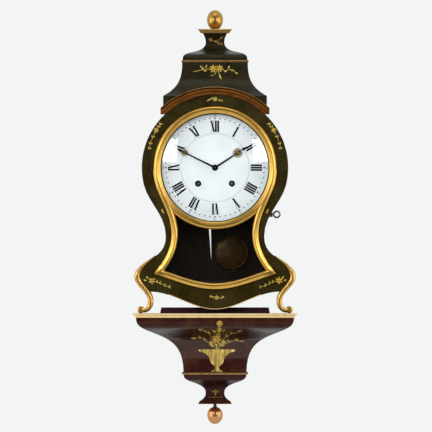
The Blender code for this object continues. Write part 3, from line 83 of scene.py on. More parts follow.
def add(tree, kind, links=None, stops=(), **settings):
    """Add a node; links maps an input to a value or to an output, stops are a ramp's swatches."""
    node = tree.nodes.new("ShaderNode" + kind)
    for name, value in settings.items():
        setattr(node, name, value)
    for i, (where, swatch) in enumerate(stops):
        stop = node.color_ramp.elements[i] if i < 2 else node.color_ramp.elements.new(where)
        stop.position = where
        stop.color = linear(swatch)
    for name, value in (links or {}).items():
        if isinstance(value, bpy.types.NodeSocket):
            tree.links.new(value, node.inputs[name])
        else:
            node.inputs[name].default_value = value
    return node


print("half-way grey is", round(linear("#808080")[0], 3), "in linear light")

# %% [markdown]
# ## How a finish begins
# Every surface has one Principled shader. What is the same all over is set on its sockets. What
# wanders, as colour does on anything made by hand, comes from a pattern sized in millimetres.
# Many finishes need only one such pattern, so a second function makes all of those.


def new_finish(name, slot, **constants):
    """A material whose plain sockets are set here; slot is not used."""
    finish = bpy.data.materials.new(name)
    finish.use_nodes = True
    tree = finish.node_tree
    shader = tree.nodes["Principled BSDF"]
    for socket, value in constants.items():
        shader.inputs[socket.replace("_", " ")].default_value = value
    place = add(tree, "TexCoord").outputs["Object"]
    return finish, tree, shader, place


def mottled(name, slot, grain, stops, detail=3.0, **constants):
    """A finish whose colour wanders; grain is the patches' size in metres, or one each for x, y, z."""
    finish, tree, shader, place = new_finish(name, slot, **constants)
    sizes = grain if isinstance(grain, tuple) else (grain, grain, grain)
    sized = add(tree, "Mapping", {"Vector": place, "Scale": [1 / size for size in sizes]})
    noise = add(tree, "TexNoise", {"Vector": sized.outputs["Vector"], "Scale": 1.0, "Detail": detail})
    ramp = add(tree, "ValToRGB", {"Fac": noise.outputs["Fac"]}, stops=stops)
    tree.links.new(ramp.outputs["Color"], shader.inputs["Base Color"])
    return finish, tree, shader, noise.outputs["Fac"]


print("two ways to begin a finish")

# %% [markdown]
# ## Lacquer
# The case is wood under a dark japanned lacquer: many coats of tinted varnish, rubbed flat and
# then yellowed by age. It could be one dark colour, but old lacquer is cloudy: olive low on the
# case, greener on the hood, with a net of fine cracks. So clouds and a finer mottle shift the
# colour, and a cell pattern draws the cracks.

# %% Lacquer
CLOUDS, MOTTLE, CRACKS = 45 * MM, 5 * MM, 7 * MM


def lacquer(name, slot, low, high, cloud, crack, span, gloss=0.3, smooth=0.24, dull=None):
    """Aged lacquer: low and high swatches over a span of height, dulled above a height, in metres."""
    finish, tree, shader, place = new_finish(name, slot, IOR=1.5, Specular_IOR_Level=gloss)
    height = add(tree, "SeparateXYZ", {"Vector": place}).outputs["Z"]
    rise = add(tree, "MapRange", {"Value": height, "From Min": span[0], "From Max": span[1]})
    ground = add(tree, "ValToRGB", {"Fac": rise.outputs["Result"]}, stops=[(0.0, low), (1.0, high)])
    clouds = add(tree, "TexNoise", {"Vector": place, "Scale": 1 / CLOUDS, "Detail": 6.0,
                                    "Roughness": 0.62}).outputs["Fac"]
    patchy = add(tree, "MapRange", {"Value": clouds, "From Min": 0.42, "From Max": 0.72, "To Max": 0.6})
    tinted = add(tree, "Mix", {0: patchy.outputs["Result"], 6: ground.outputs["Color"],
                               7: linear(cloud)}, data_type="RGBA")
    mottle = add(tree, "TexNoise", {"Vector": place, "Scale": 1 / MOTTLE, "Detail": 4.0}).outputs["Fac"]
    speck = add(tree, "MapRange", {"Value": mottle, "From Min": 0.3, "From Max": 0.75,
                                   "To Min": 0.65, "To Max": 1.35})
    worked = add(tree, "Mix", {0: 1.0, 6: tinted.outputs[2], 7: speck.outputs["Result"]},
                 data_type="RGBA", blend_type="MULTIPLY")
    net = add(tree, "TexVoronoi", {"Vector": place, "Scale": 1 / CRACKS}, feature="DISTANCE_TO_EDGE")
    line = add(tree, "MapRange", {"Value": net.outputs["Distance"], "From Max": 0.035,
                                  "To Min": 0.35, "To Max": 0.0})
    colour = add(tree, "Mix", {0: line.outputs["Result"], 6: worked.outputs[2], 7: linear(crack)},
                 data_type="RGBA")
    tree.links.new(colour.outputs[2], shader.inputs["Base Color"])
    rough = add(tree, "MapRange", {"Value": clouds, "From Min": 0.3, "From Max": 0.7,
                                   "To Min": smooth, "To Max": smooth + 0.12})
    tree.links.new(rough.outputs["Result"], shader.inputs["Roughness"])
    if dull:
        sheen = add(tree, "MapRange", {"Value": height, "From Min": dull - 7 * MM, "From Max": dull,
                                       "To Min": gloss, "To Max": gloss / 3})
        tree.links.new(sheen.outputs["Result"], shader.inputs["Specular IOR Level"])
    relief = add(tree, "Bump", {"Strength": 0.12, "Distance": 0.2 * MM, "Height": mottle})
    tree.links.new(relief.outputs["Normal"], shader.inputs["Normal"])
    return finish


print("lacquer has clouds of", round(CLOUDS / MM), "mm and cracks of", round(CRACKS / MM), "mm")

# %% [markdown]
# ## The lacquers of case and bracket
# Case and bracket differ in tint, and the hood is greener than the case below it. Each could have
# a recipe of its own, but one recipe with other swatches keeps them one family.

# %% Six lacquers
# Olive black: yellowed varnish over black, which looks deep and a little warm.
case_lacquer = lacquer("olive_black_lacquer", "case_lacquer", "#2c2302", "#261f03", "#463d16",
                       "#0d0b05", (0.02, 0.50), gloss=0.16)
# Green black: cooler and duller, so the hood stands back behind its gold.
hood_lacquer = lacquer("green_black_lacquer", "case_lacquer", "#211d0b", "#221f0f", "#38331d",
                       "#100e06", (0.45, 0.62), gloss=0.12)
# Aubergine: red under black, glossier, and dull just under the shelf.
bracket_lacquer = lacquer("aubergine_lacquer", "bracket_lacquer", "#381b16", "#34160f", "#5a341d",
                          "#180b08", (-0.20, 0.0), gloss=0.32, smooth=0.12, dull=-0.026)
# The same red below the bead, with less gloss, so it hardly mirrors the pale ground under it.
lower_lacquer = lacquer("dulled_aubergine_lacquer", "bracket_lacquer", "#341a18", "#341a18",
                        "#4c2d22", "#180b08", (-0.20, 0.0), gloss=0.13, smooth=0.2)
# Plum: the upstand behind the clock shows more red.
upstand_lacquer = lacquer("plum_lacquer", "bracket_lacquer", "#4a2236", "#4e2438", "#5c3044",
                          "#200c18", (-0.20, 0.02))
# Japanned brass: black hinges that don't catch the eye.
hinge_black = lacquer("japanned_black", "brass", "#282003", "#241d03", "#3a3212", "#0d0b05",
                      (0.02, 0.50), gloss=0.10)
print("six lacquers, with clouds, mottle and cracks")

# %% [markdown]
# ## Gilding and brass
# The mouldings are water-gilt wood: gold leaf over red clay, burnished, so where the leaf is
# rubbed the warm clay shows through. The balls and feet are lacquered brass. All are metals, so
# the colour is the tint of what they mirror. Wear and soft tool marks keep the shine uneven.

# %% Gilding
WEAR, TOOL_MARKS = 12 * MM, 3 * MM


def gilding(name, slot, gold, worn, wear, smooth, rough, metal=1.0, marks=0.02):
    """Burnished gold; wear is the share that is rubbed, metal how far the leaf still mirrors."""
    finish, tree, shader, place = new_finish(name, slot, Metallic=metal)
    patches = add(tree, "TexNoise", {"Vector": place, "Scale": 1 / WEAR, "Detail": 3.0,
                                     "Roughness": 0.5}).outputs["Fac"]
    rubbed = add(tree, "MapRange", {"Value": patches, "From Min": 0.66 - wear,
                                    "From Max": 0.8 - wear / 2, "To Max": 0.8})
    tint = add(tree, "Mix", {0: rubbed.outputs["Result"], 6: linear(gold), 7: linear(worn)},
               data_type="RGBA")
    tree.links.new(tint.outputs[2], shader.inputs["Base Color"])
    shine = add(tree, "MapRange", {"Value": patches, "From Min": 0.3, "From Max": 0.7,
                                   "To Min": smooth, "To Max": rough})
    tree.links.new(shine.outputs["Result"], shader.inputs["Roughness"])
    fine = add(tree, "TexNoise", {"Vector": place, "Scale": 1 / TOOL_MARKS, "Detail": 2.0})
    relief = add(tree, "Bump", {"Strength": marks, "Distance": 0.10 * MM, "Height": fine.outputs["Fac"]})
    tree.links.new(relief.outputs["Normal"], shader.inputs["Normal"])
    return finish


# Burnished leaf on the door: the brightest gold, which mirrors the lamps as pale bands.
door_gilt = gilding("burnished_water_gilding", "gilt", "#d6a952", "#bd8638", 0.08, 0.28, 0.36)
# Dull leaf on the beads: brownish, so they read as thin lines and not as wires.
bead_gilt = gilding("dull_gilding", "gilt", "#b38c58", "#7c5c38", 0.22, 0.32, 0.50)
# Bright leaf, half matt, on the shelf's edge: pale cream along its whole length.
shelf_gilt = gilding("bright_gilding", "gilt", "#f4d596", "#dcae66", 0.10, 0.36, 0.48, 0.25)
# Soft leaf on the cap: an even tan.
cap_gilt = gilding("soft_gilding", "gilt", "#d8a860", "#a8763c", 0.15, 0.40, 0.52, 0.6)
# Bronzed leaf on the cornice: red clay shows through, so it looks like copper in shade.
cornice_gilt = gilding("bronzed_gilding", "cornice_gilt", "#8a5624", "#5b3414", 0.25, 0.32, 0.48)
# Pierced gilt work on the hands: small and dark between its petals.
rosette_gilt = gilding("pierced_gilding", "gilt", "#8f7c40", "#544820", 0.25, 0.35, 0.5)
print("six gildings, with wear of", round(WEAR / MM), "mm")

# %% [markdown]
# ## Brass and bell metal
# Brass parts are cast, filed or turned, and then lacquered against tarnish. The same recipe serves,
# with less wear. The bob behind the window gets a darkened brass, painted shade for the unlit case.

# %% Brass
# Lacquered brass on the feet: bright on every curve.
foot_brass = gilding("lacquered_brass", "brass", "#cda257", "#96692c", 0.14, 0.28, 0.38, 0.9)
# Turned brass on the top ball: almost no marks, so its two lamps are clean spots.
ball_brass = gilding("turned_brass", "brass", "#b68d45", "#8c6329", 0.08, 0.33, 0.39, marks=0.002)
# Coppery brass on the drop: a redder metal, as castings differ.
drop_brass = gilding("coppery_brass", "brass", "#ca9560", "#9c6a42", 0.08, 0.33, 0.39, marks=0.002)
# Clockmaker's brass: yellow and clean, for wheels and plates.
wheel_brass = gilding("clockmakers_brass", "brass", "#c9a24f", "#9c7430", 0.10, 0.22, 0.36)
# Brass darkened as painted shade on the bob, which only just shows in the dark window.
shaded_bob_brass = gilding("brass_darkened_as_painted_shade", "brass", "#3f2c04", "#271a02", 0.20, 0.26, 0.40, 0.6)
# Its rim is a paler copy of that darkened brass, a painted highlight that draws a fine arc.
rim_highlight_brass = gilding("shaded_brass_painted_rim_highlight", "brass", "#8a6824", "#57400f", 0.20, 0.26, 0.40, 0.6)
# Bell metal is paler and greyer than brass.
bell_bronze = gilding("bell_metal", "bell_metal", "#b39458", "#7c6034", 0.18, 0.28, 0.42)
print("six brasses and bell metal")

# %% [markdown]
# ## Enamel
# The dial is white vitreous enamel on copper: glassy and very slightly wavy. Its figures are black
# enamel painted on and fired again. A white paint would do for the colour, but not for the gloss.

# %% Enamel
# White enamel: milky and a little cold, with a slow wave that softens what it mirrors.
enamel, tree, shader, milk = mottled("white_enamel", "enamel", 30 * MM,
                                     [(0.3, "#dde2e6"), (0.7, "#e6eaed")], 4.0, Roughness=0.16, IOR=1.5)
wave = add(tree, "Bump", {"Strength": 0.05, "Distance": 0.2 * MM, "Height": milk})
tree.links.new(wave.outputs["Normal"], shader.inputs["Normal"])
# Black enamel: dense, with a trace of grey where the brush ran thin.
black_enamel = mottled("black_enamel", "enamel", 2 * MM, [(0.35, "#101114"), (0.7, "#23252a")],
                       Roughness=0.22, Specular_IOR_Level=0.1)[0]
# A thin grey line: the same black, drawn so fine that the white shows through.
grey_enamel = mottled("thin_grey_line", "enamel", 4 * MM, [(0.3, "#7d848b"), (0.7, "#9aa1a8")],
                      Roughness=0.3, Specular_IOR_Level=0.1)[0]
print("enamel in white, black and grey")

# %% [markdown]
# ## Steel
# Hands, key, rod and arbors are steel. The hands are blued over a flame until almost black, the
# key is filed grey, and the rest has the skin of the forge or a polish. A fine drawn grain breaks
# the shine, since hand-filed steel never mirrors evenly.

# %% Steel
STEEL_GRAIN = 0.5 * MM


def steel(name, dark, pale, smooth):
    """Steel with a fine drawn grain that shifts its tone and its shine."""
    finish, tree, shader, grain = mottled(name, "steel", STEEL_GRAIN, [(0.3, dark), (0.75, pale)],
                                          Metallic=1.0)
    shine = add(tree, "MapRange", {"Value": grain, "To Min": smooth, "To Max": smooth + 0.2})
    tree.links.new(shine.outputs["Result"], shader.inputs["Roughness"])
    return finish


# Blued: near black, with a cold edge. Dark: from the forge. Polished: pale. Filed: plain grey.
blued_steel = steel("blued_steel", "#0d0e13", "#1f222b", 0.22)
dark_steel = steel("dark_steel", "#3a3835", "#5a5650", 0.28)
bright_steel = steel("polished_steel", "#8e9093", "#b5b7b9", 0.20)
key_steel = steel("filed_grey_steel", "#6b6862", "#8a867f", 0.28)
print("four steels with a grain of", STEEL_GRAIN / MM, "mm")

# %% [markdown]
# ## Oak and glass
# The boards inside are plain oak, stained dark, with long upright grain. The panes are thin old
# glass with two faces, bedded in putty, whose dark colour is also a painted shadow line round the
# dial. Light from a lamp goes straight through such a thin pane, so rays that only ask for shade
# meet a transparent shader instead of a bending one.

# %% Oak and glass
OAK_GRAIN = (4 * MM, 4 * MM, 60 * MM)
# Stained oak: brown black, with pores along the grain.
oak, tree, shader, figure = mottled("dark_stained_oak", "oak", OAK_GRAIN,
                                    [(0.3, "#0f0905"), (0.7, "#1f140c")], 6.0, Roughness=0.6,
                                    Specular_IOR_Level=0.1)
pores = add(tree, "Bump", {"Strength": 0.25, "Distance": 0.3 * MM, "Height": figure})
tree.links.new(pores.outputs["Normal"], shader.inputs["Normal"])
# Old glass: clear, hardly green, seen only by what it mirrors.
glass, tree, shader, _ = mottled("old_window_glass", "glass", 80 * MM,
                                 [(0.3, "#f4f8f6"), (0.7, "#fdfefe")], 2.0, Roughness=0.0, IOR=1.48,
                                 Transmission_Weight=1.0)
lamp_ray = add(tree, "LightPath").outputs["Is Shadow Ray"]
through = add(tree, "BsdfTransparent").outputs["BSDF"]
pane = add(tree, "MixShader", {0: lamp_ray, 1: shader.outputs["BSDF"], 2: through})
tree.links.new(pane.outputs["Shader"], tree.nodes["Material Output"].inputs["Surface"])
# Dark putty: dull and lumpy, and its black is painted shade, the shadow line that parts the dial from its
# gold ring.
putty_shadow_line = mottled("dark_putty_painted_shadow_line", "glass", 4 * MM, [(0.3, "#0d0703"), (0.7, "#1c1108")],
                2.0, Roughness=0.8, Specular_IOR_Level=0.05)[0]
print("oak with", round(OAK_GRAIN[2] / MM), "mm of grain, glass and putty")

# %% [markdown]
# ## The camera
# The photograph was taken square on with a long lens. One pixel of it is 2.15 mm on the clock's
# front, so the camera's place and lens follow from that, and any place measured in the photograph
# can be turned into a place on the clock.

# %% Camera
PIXEL = 2.15 * MM
FRAME_PIXELS = 432
DIAL_COLUMN, SHELF_ROW = 215.0, 313.5
CAMERA_DISTANCE = 40.0


def spot(column, row):
    """Across and up on the clock, in metres, for a pixel of the photograph."""
    return (column - DIAL_COLUMN) * PIXEL, (SHELF_ROW - row) * PIXEL


def placed(name, data):
    """An object for a camera, a lamp or a mesh, put into the scene."""
    item = bpy.data.objects.new(name, data)
    bpy.context.scene.collection.objects.link(item)
    return item


frame_x, frame_z = spot(FRAME_PIXELS / 2, FRAME_PIXELS / 2)
lens = bpy.data.cameras.new("long_lens")
lens.lens = lens.sensor_width * CAMERA_DISTANCE / (FRAME_PIXELS * PIXEL)
lens.clip_end = 100
camera = placed("camera", lens)
camera.location = (frame_x, case_front - CAMERA_DISTANCE, frame_z)
camera.rotation_euler = (math.radians(90), 0, 0)
bpy.context.scene.camera = camera
bpy.context.scene.view_settings.view_transform = "Standard"
print("camera with a lens of", round(lens.lens), "mm")

# %% [markdown]
# ## Lamps
# Two soft boxes and two tall strips stand left and right; the glass, balls and mouldings mirror
# them as pale patches and bands. They are kept for that and give no light of their own to matt
# surfaces. A big box in front lights those evenly, and nothing mirrors it or sees it through glass.
# A weak box overhead lifts the tops.


# %% Lamps
def soft_box(name, place, aim, width, height, watts):
    """A rectangular soft box that looks at a point."""
    lamp = bpy.data.lights.new(name, "AREA")
    lamp.shape = "RECTANGLE"
    lamp.size = width
    lamp.size_y = height
    lamp.energy = watts
    item = placed(name, lamp)
    item.location = place
    item.rotation_euler = (Vector(aim) - Vector(place)).to_track_quat("-Z", "Y").to_euler()
    return item


door_aim, waist_aim = (0, case_front, 0.30), (0, case_front, 0.25)
for side, word in ((-1, "left"), (1, "right")):
    box = soft_box(word + "_soft_box", (side * 1.28, -2.25, 0.72), door_aim, 0.90, 0.55, watts=13.5)
    strip = soft_box(word + "_strip_box", (side * 2.05, -1.05, 0.25), waist_aim, 0.40, 1.90, watts=13)
    box.visible_diffuse = strip.visible_diffuse = False
soft_box("top_soft_box", (0, -1.1, 2.3), waist_aim, 1.4, 0.8, watts=7)
front_fill = soft_box("front_soft_box", (-0.4, -3.7, 0.90), door_aim, 1.6, 1.6, watts=88)
front_fill.visible_glossy = False
front_fill.visible_transmission = False
print("two soft boxes and two strips for the shine, one box overhead and one in front")

# %% [markdown]
# ## White ground
# The clock was photographed before a white ground. If that ground lit the clock as well, the
# lacquer would look grey, so it is white only for rays that look at it, straight, mirrored or
# through glass, and gives all others a weak even light.

# %% White ground
world = bpy.data.worlds.new("white_ground")
bpy.context.scene.world = world
world.use_nodes = True
tree = world.node_tree
ray = add(tree, "LightPath").outputs
looks = add(tree, "Math", {0: ray["Is Camera Ray"], 1: ray["Is Glossy Ray"]}, operation="MAXIMUM")
looks = add(tree, "Math", {0: looks.outputs[0], 1: ray["Is Transmission Ray"]}, operation="MAXIMUM")
fill = add(tree, "Background", {"Color": linear("#ffffff"), "Strength": 0.32})
white = add(tree, "Background", {"Color": linear("#f3f5f4"), "Strength": 1.0})
ground = add(tree, "MixShader", {0: looks.outputs[0], 1: fill.outputs[0], 2: white.outputs[0]})
tree.links.new(ground.outputs["Shader"], tree.nodes["World Output"].inputs["Surface"])
print("a white ground with a weak fill")

# %% [markdown]
# ## Floor and dark screen
# A pale floor lies below. A dark screen stands far in front, like the dark side of a studio, so that
# the flat lacquer mirrors something dark and keeps its depth. The distant camera looks through it, it
# gives no shade, and it is open to rays that were never turned, so an open pane seen from behind shows
# the white ground and not the screen.


# %% Floor and screen
def mesh_of(name, bm, finish):
    """A bmesh turned into a mesh with its finish."""
    mesh = bpy.data.meshes.new(name)
    bm.to_mesh(mesh)
    bm.free()
    mesh.materials.append(finish)
    return mesh


def stage_sheet(name, dark, pale, corners, rough, glow=0.0, mirrored_only=0.0):
    """A plain sheet, open from behind, paler to the eye by its glow, or seen only when mirrored."""
    finish, tree, shader, _ = mottled(name, None, 0.3, [(0.3, dark), (0.7, pale)], 2.0, Roughness=rough)
    tone = shader.inputs["Base Color"].links[0].from_socket
    ray = add(tree, "LightPath").outputs
    seen = add(tree, "Math", {0: ray["Is Camera Ray"], 1: ray["Is Glossy Ray"]}, operation="MAXIMUM")
    lift = add(tree, "Math", {0: seen.outputs[0], 1: glow}, operation="MULTIPLY")
    light = add(tree, "Emission", {"Color": tone, "Strength": lift.outputs[0]})
    lit = add(tree, "AddShader", {0: shader.outputs["BSDF"], 1: light.outputs[0]})
    behind = add(tree, "NewGeometry").outputs["Backfacing"]
    turns = add(tree, "Math", {0: ray["Glossy Depth"], 1: ray["Diffuse Depth"]}, operation="ADD")
    straight = add(tree, "Math", {0: turns.outputs[0], 1: 0.5 * mirrored_only}, operation="LESS_THAN")
    is_open = add(tree, "Math", {0: behind, 1: straight.outputs[0]}, operation="MAXIMUM")
    clear = add(tree, "BsdfTransparent")
    sheet = add(tree, "MixShader", {0: is_open.outputs[0], 1: lit.outputs[0], 2: clear.outputs[0]})
    tree.links.new(sheet.outputs[0], tree.nodes["Material Output"].inputs["Surface"])
    bm = bmesh.new()
    bm.faces.new([bm.verts.new(corner) for corner in corners])
    item = placed(name, mesh_of(name, bm, finish))
    return item


FLOOR_Z, SCREEN_Y = -0.75, -7
# Pale floor cloth: near white, so it melts into the ground and only keeps the shadow.
stage_sheet("floor", "#e6e8e7", "#eaecea",
            [(-2, -1.5, FLOOR_Z), (2, -1.5, FLOOR_Z), (2, 2, FLOOR_Z), (-2, 2, FLOOR_Z)], 0.8, glow=0.5)
# Black felt: takes all light, so what mirrors it looks deep.
screen = stage_sheet("dark_screen", "#1a1a1a", "#1e1e1e",
                     [(-7, SCREEN_Y, -6), (-7, SCREEN_Y, 12), (7, SCREEN_Y, 12), (7, SCREEN_Y, -6)],
                     0.9, mirrored_only=1.0)
screen.visible_camera = screen.visible_diffuse = screen.visible_shadow = False
print("a floor at", FLOOR_Z, "m and a dark screen", -SCREEN_Y, "m in front of the wall")

# %% [markdown]
# ## Finishes for the solids
# Solids whose shape is already right only need their finish: boards, movement, lock and pendulum
# parts. A table from finish to nodes is short and easy to check against the list of pieces.

# %% Dress the solids
finishes = dict.fromkeys(nodes, wheel_brass)
for finish, names in (
        (case_lacquer, ("case_front_board", "case_left_side", "case_right_side")),
        (hood_lacquer, ("hood_body", "hood_crown")),
        (bracket_lacquer, ("bracket_body",)), (lower_lacquer, ("bracket_lower_body",)),
        (upstand_lacquer, ("bracket_back_board",)),
        (hinge_black, [node for node in nodes if "hinge" in node]),
        (oak, ("case_back_board", "case_floor", "movement_seat_board", "bracket_shelf")),
        (glass, ("dial_glass", "window_glass")), (enamel, ("dial",)),
        (door_gilt, ("door_frame",)), (cornice_gilt, ("hood_cornice",)), (cap_gilt, ("hood_cap",)),
        (bead_gilt, ("hood_bead", "bracket_bead")), (shelf_gilt, ("shelf_gilt_moulding",)),
        (foot_brass, [node for node in nodes if node.endswith("_foot")]),
        (ball_brass, ("top_finial",)), (drop_brass, ("bracket_finial",)), (bell_bronze, ("bell",)),
        # The bob and its nut take brass darkened as painted shade.
        (shaded_bob_brass, ("pendulum_bob", "rating_nut")),
        (blued_steel, ("hand_collet", "hour_hand", "minute_hand")), (bright_steel, ("cannon_pinion",)),
        (dark_steel, ("key", "lock_hook", "door_keeper", "pallet_anchor", "strike_hammer",
                      "bell_stand", "pendulum_rod", "going_winding_arbor", "strike_winding_arbor",
                      "key_escutcheon"))):
    finishes.update(dict.fromkeys(names, finish))
for node, finish in finishes.items():
    nodes[node].material_slots[0].material = finish
print("dressed", len(finishes), "solids")

# %% [markdown]
# ## Keeping a piece
# A new piece starts as a few points and is spun, swept or extruded. One function then keeps it: it
# makes the object, shades it smooth where the angle is small, and lets it ride on the body that
# carries it on the real clock. The first ten pieces are solids whose facets only need smoothing.


# %% Keep a piece
def keep(name, bm, finish, body, stands_for=(), smooth=38):
    """Turn a finished bmesh into a piece that rides on a body and may stand for solids."""
    mesh = mesh_of(name, bm, finish)
    mesh.shade_smooth()
    mesh.set_sharp_from_angle(angle=math.radians(smooth))
    item = placed(name, mesh)
    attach(item, body)
    if stands_for:
        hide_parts(*stands_for)
    print(name, "has", len(mesh.polygons), "faces")
    return item


def copy_of(node):
    """A solid's mesh with its loose triangles merged and its flat faces made whole."""
    bm = bmesh.new()
    bm.from_mesh(nodes[node].data)
    bmesh.ops.remove_doubles(bm, verts=bm.verts, dist=1e-6)
    bmesh.ops.dissolve_limit(bm, angle_limit=math.radians(0.5), verts=bm.verts, edges=bm.edges)
    return bm


for node in ("case_left_side", "case_right_side", "hood_body", "hood_crown", "bracket_body",
             "bracket_lower_body", "hood_bead", "hood_cap", "bracket_bead", "shelf_gilt_moulding"):
    keep("smooth_" + node, copy_of(node), finishes[node], "clock", [node])

# %% [markdown]
# ## Spinning, sweeping and thickening
# Turned work is an outline spun round its axis, and a moulding is an outline carried along a line.
# A strip cut from sheet, or a stroke of paint, is a flat shape given its thickness. These three
# ways make nearly all that follows.


# %% Spin, sweep and thicken
def points_in(geometry):
    """The points among what an operator gives back."""
    return [part for part in geometry if isinstance(part, bmesh.types.BMVert)]


def edges_in(geometry):
    """The edges among what an operator gives back."""
    return [part for part in geometry if isinstance(part, bmesh.types.BMEdge)]


def thickened(bm, depth):
    """Give every flat face a body of some depth, backwards."""
    grown = bmesh.ops.extrude_face_region(bm, geom=bm.faces[:])["geom"]
    bmesh.ops.translate(bm, vec=(0, depth, 0), verts=points_in(grown))
    bmesh.ops.recalc_face_normals(bm, faces=bm.faces)
    return bm


def spun(profile, centre, axis="Y", steps=96, closed=True, bm=None):
    """Spin a profile of distances from the axis and along it right round a centre."""
    bm = bm or bmesh.new()
    along = Vector((0, 1, 0) if axis == "Y" else (0, 0, 1))
    verts = [bm.verts.new(Vector(centre) + Vector((r, 0, 0)) + a * along) for r, a in profile]
    pairs = list(zip(verts, verts[1:]))
    if closed:
        pairs.append((verts[-1], verts[0]))
    edges = [bm.edges.new(pair) for pair in pairs]
    bmesh.ops.spin(bm, geom=verts + edges, cent=centre, axis=along, angle=2 * math.pi, steps=steps,
                   use_merge=True)
    bmesh.ops.remove_doubles(bm, verts=bm.verts, dist=1e-6)
    bmesh.ops.recalc_face_normals(bm, faces=bm.faces)
    return bm


def swept(bm, outline, stations):
    """Carry a closed outline along stations, each a matrix from its own plane to its place."""
    verts = [bm.verts.new(stations[0] @ Vector(point)) for point in outline]
    edges = [bm.edges.new(pair) for pair in zip(verts, verts[1:] + verts[:1])]
    bm.faces.new(verts)
    for before, after in zip(stations, stations[1:]):
        grown = bmesh.ops.extrude_edge_only(bm, edges=edges)["geom"]
        moved = points_in(grown)
        edges = [part for part in edges_in(grown) if all(vert in moved for vert in part.verts)]
        bmesh.ops.transform(bm, matrix=after @ before.inverted(), verts=moved)
    bmesh.ops.contextual_create(bm, geom=edges)
    bmesh.ops.recalc_face_normals(bm, faces=bm.faces)
    return bm


print("three ways to make a shape")

# %% [markdown]
# ## The door's ring
# On the real clock the door is one carved and gilt frame: a ring round the dial, and two bent legs
# joined by an ogee sill. It could stay a flat board with eased edges, but what the eye sees is the
# moulding: a round shoulder outside, which mirrors the lamps as one pale band, and a long slope
# down to the glass, which mirrors the dark room and so looks brown. So that section is spun.

# %% The door's ring
door_low, door_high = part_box("door_frame")
SIGHT = 117.4 * MM
RING = door_high.x
REBATE, PANE_SEAT = 4.2 * MM, 2.3 * MM
RING_TILT, LEG_TILT = math.radians(26), math.radians(22)


def sloped(band, back, front, tilt):
    """A moulding's section: up a round shoulder, over a soft ridge and down to an eased edge."""
    depth, shoulder, ease = back - front, 0.45 * band, 0.6 * MM
    section = [(0, back)]
    for turn in (math.pi / 2 * step / 12 for step in range(13)):
        section.append((-shoulder * (1 - math.cos(turn)), back - depth * (0.35 + 0.65 * math.sin(turn))))
    slope = band - shoulder - ease
    for share in (step / 8 for step in range(1, 9)):
        fall = math.tan(tilt) * slope * share ** 2 / (share + 0.15)
        section.append((-shoulder - slope * share, front + fall))
    return section + [(-band, front + fall + ease)]


seat_y, rebate_x = door_high.y - PANE_SEAT, SIGHT + REBATE - RING
ring_section = sloped(RING - SIGHT, door_high.y, door_low.y, RING_TILT)
ring_section += [(SIGHT - RING, seat_y), (rebate_x, seat_y), (rebate_x, door_high.y)]
dial_centre = (0, 0, dial_z)
frame_bm = spun([(RING + x, y) for x, y in ring_section], dial_centre, steps=128)
print("the ring's section has", len(ring_section), "points")

# %% [markdown]
# ## The line of legs and sill
# The legs leave the ring, pinch to a waist and swing out to two corners, where the wavy sill joins
# them. A joiner would draw this line on the board before cutting. Two curves and a wave give it
# here, and points too close to a corner are left out, so that the mitre stays clean.

# %% The line of legs and sill
JOIN = math.radians(-21)
JOIN_X, JOIN_Z = RING * math.cos(JOIN), dial_z + RING * math.sin(JOIN)
WAIST_X, WAIST_Z = 93.1 * MM, 172.2 * MM
CORNER_X, CORNER_Z, SILL_Z = 130.9 * MM, 86.0 * MM, 52.2 * MM
SILL_WAVE = 0.35
MITRE_ROOM = 22 * MM
fall, drop, swell = JOIN_Z - WAIST_Z, WAIST_Z - CORNER_Z, CORNER_X - WAIST_X
upper = interpolate_bezier((JOIN_X, JOIN_Z, 0), (JOIN_X - 0.4 * (JOIN_X - WAIST_X), JOIN_Z - 0.32 * fall, 0),
                           (WAIST_X, WAIST_Z + 0.36 * fall, 0), (WAIST_X, WAIST_Z, 0), 18)
lower = interpolate_bezier((WAIST_X, WAIST_Z, 0), (WAIST_X, WAIST_Z - 0.47 * drop, 0),
                           (CORNER_X - 0.39 * swell, CORNER_Z + 0.23 * drop, 0), (CORNER_X, CORNER_Z, 0), 22)
corner = Vector((CORNER_X, CORNER_Z, 0))
leg = [point for point in upper + lower[1:-1] if (point - corner).length > MITRE_ROOM]
start = [Vector((RING * math.cos(turn), dial_z + RING * math.sin(turn), 0))
         for turn in (math.radians(angle) for angle in range(-2, -21, -3))]
sill = []
for step in range(-24, 25):
    share = -step / 24
    lift = (1 - SILL_WAVE) * share ** 2 + SILL_WAVE * (1 - math.cos(math.pi * share)) / 2
    point = Vector((share * CORNER_X, SILL_Z + (CORNER_Z - SILL_Z) * lift, 0))
    if CORNER_X - abs(point.x) > MITRE_ROOM:
        sill.append(point)
right = start + leg + [corner]
edge = right + sill + [Vector((-point.x, point.y, 0)) for point in reversed(right)]
print("the line runs through", len(edge), "points")

# %% [markdown]
# ## Legs and sill
# Along that line the moulding keeps its width, also at the corners, where it is mitred as a joiner
# does. Near the ring it sinks a little into it, so that the two carved parts grow together.

# %% Legs and sill
BAND, SINK = 13.5 * MM, 0.6 * MM
stations = []
for i, point in enumerate(edge):
    before = (point - edge[max(i - 1, 0)]).normalized()
    after = (edge[min(i + 1, len(edge) - 1)] - point).normalized()
    along = (before + after).normalized()
    straight = before if after.length == 0 else after
    outward = Vector((-along.y, along.x, 0)) / max(along.dot(straight), 0.3)
    sunk = SINK * max(0.0, min(1.0, (point.y - JOIN_Z) / (dial_z - JOIN_Z)))
    stations.append(Matrix(((outward.x, 0, along.x, point.x), (0, 1, 0, sunk),
                            (outward.y, 0, along.y, point.y), (0, 0, 0, 1))))
leg_section = sloped(BAND, door_high.y, door_low.y, LEG_TILT) + [(-BAND, door_high.y)]
swept(frame_bm, [(-BAND - x, y, 0) for x, y in leg_section], stations)
keep("moulded_door_frame", frame_bm, door_gilt, "door", ["door_frame"], smooth=50)

# %% [markdown]
# ## Domed glass and its putty
# The dial's glass is blown and ground to a shallow dome, so that it clears the hands, and its rim
# sits in the ring's rebate on a bed of putty. Spinning a thin section gives both faces at once,
# smooth enough to mirror the soft boxes as clean patches.

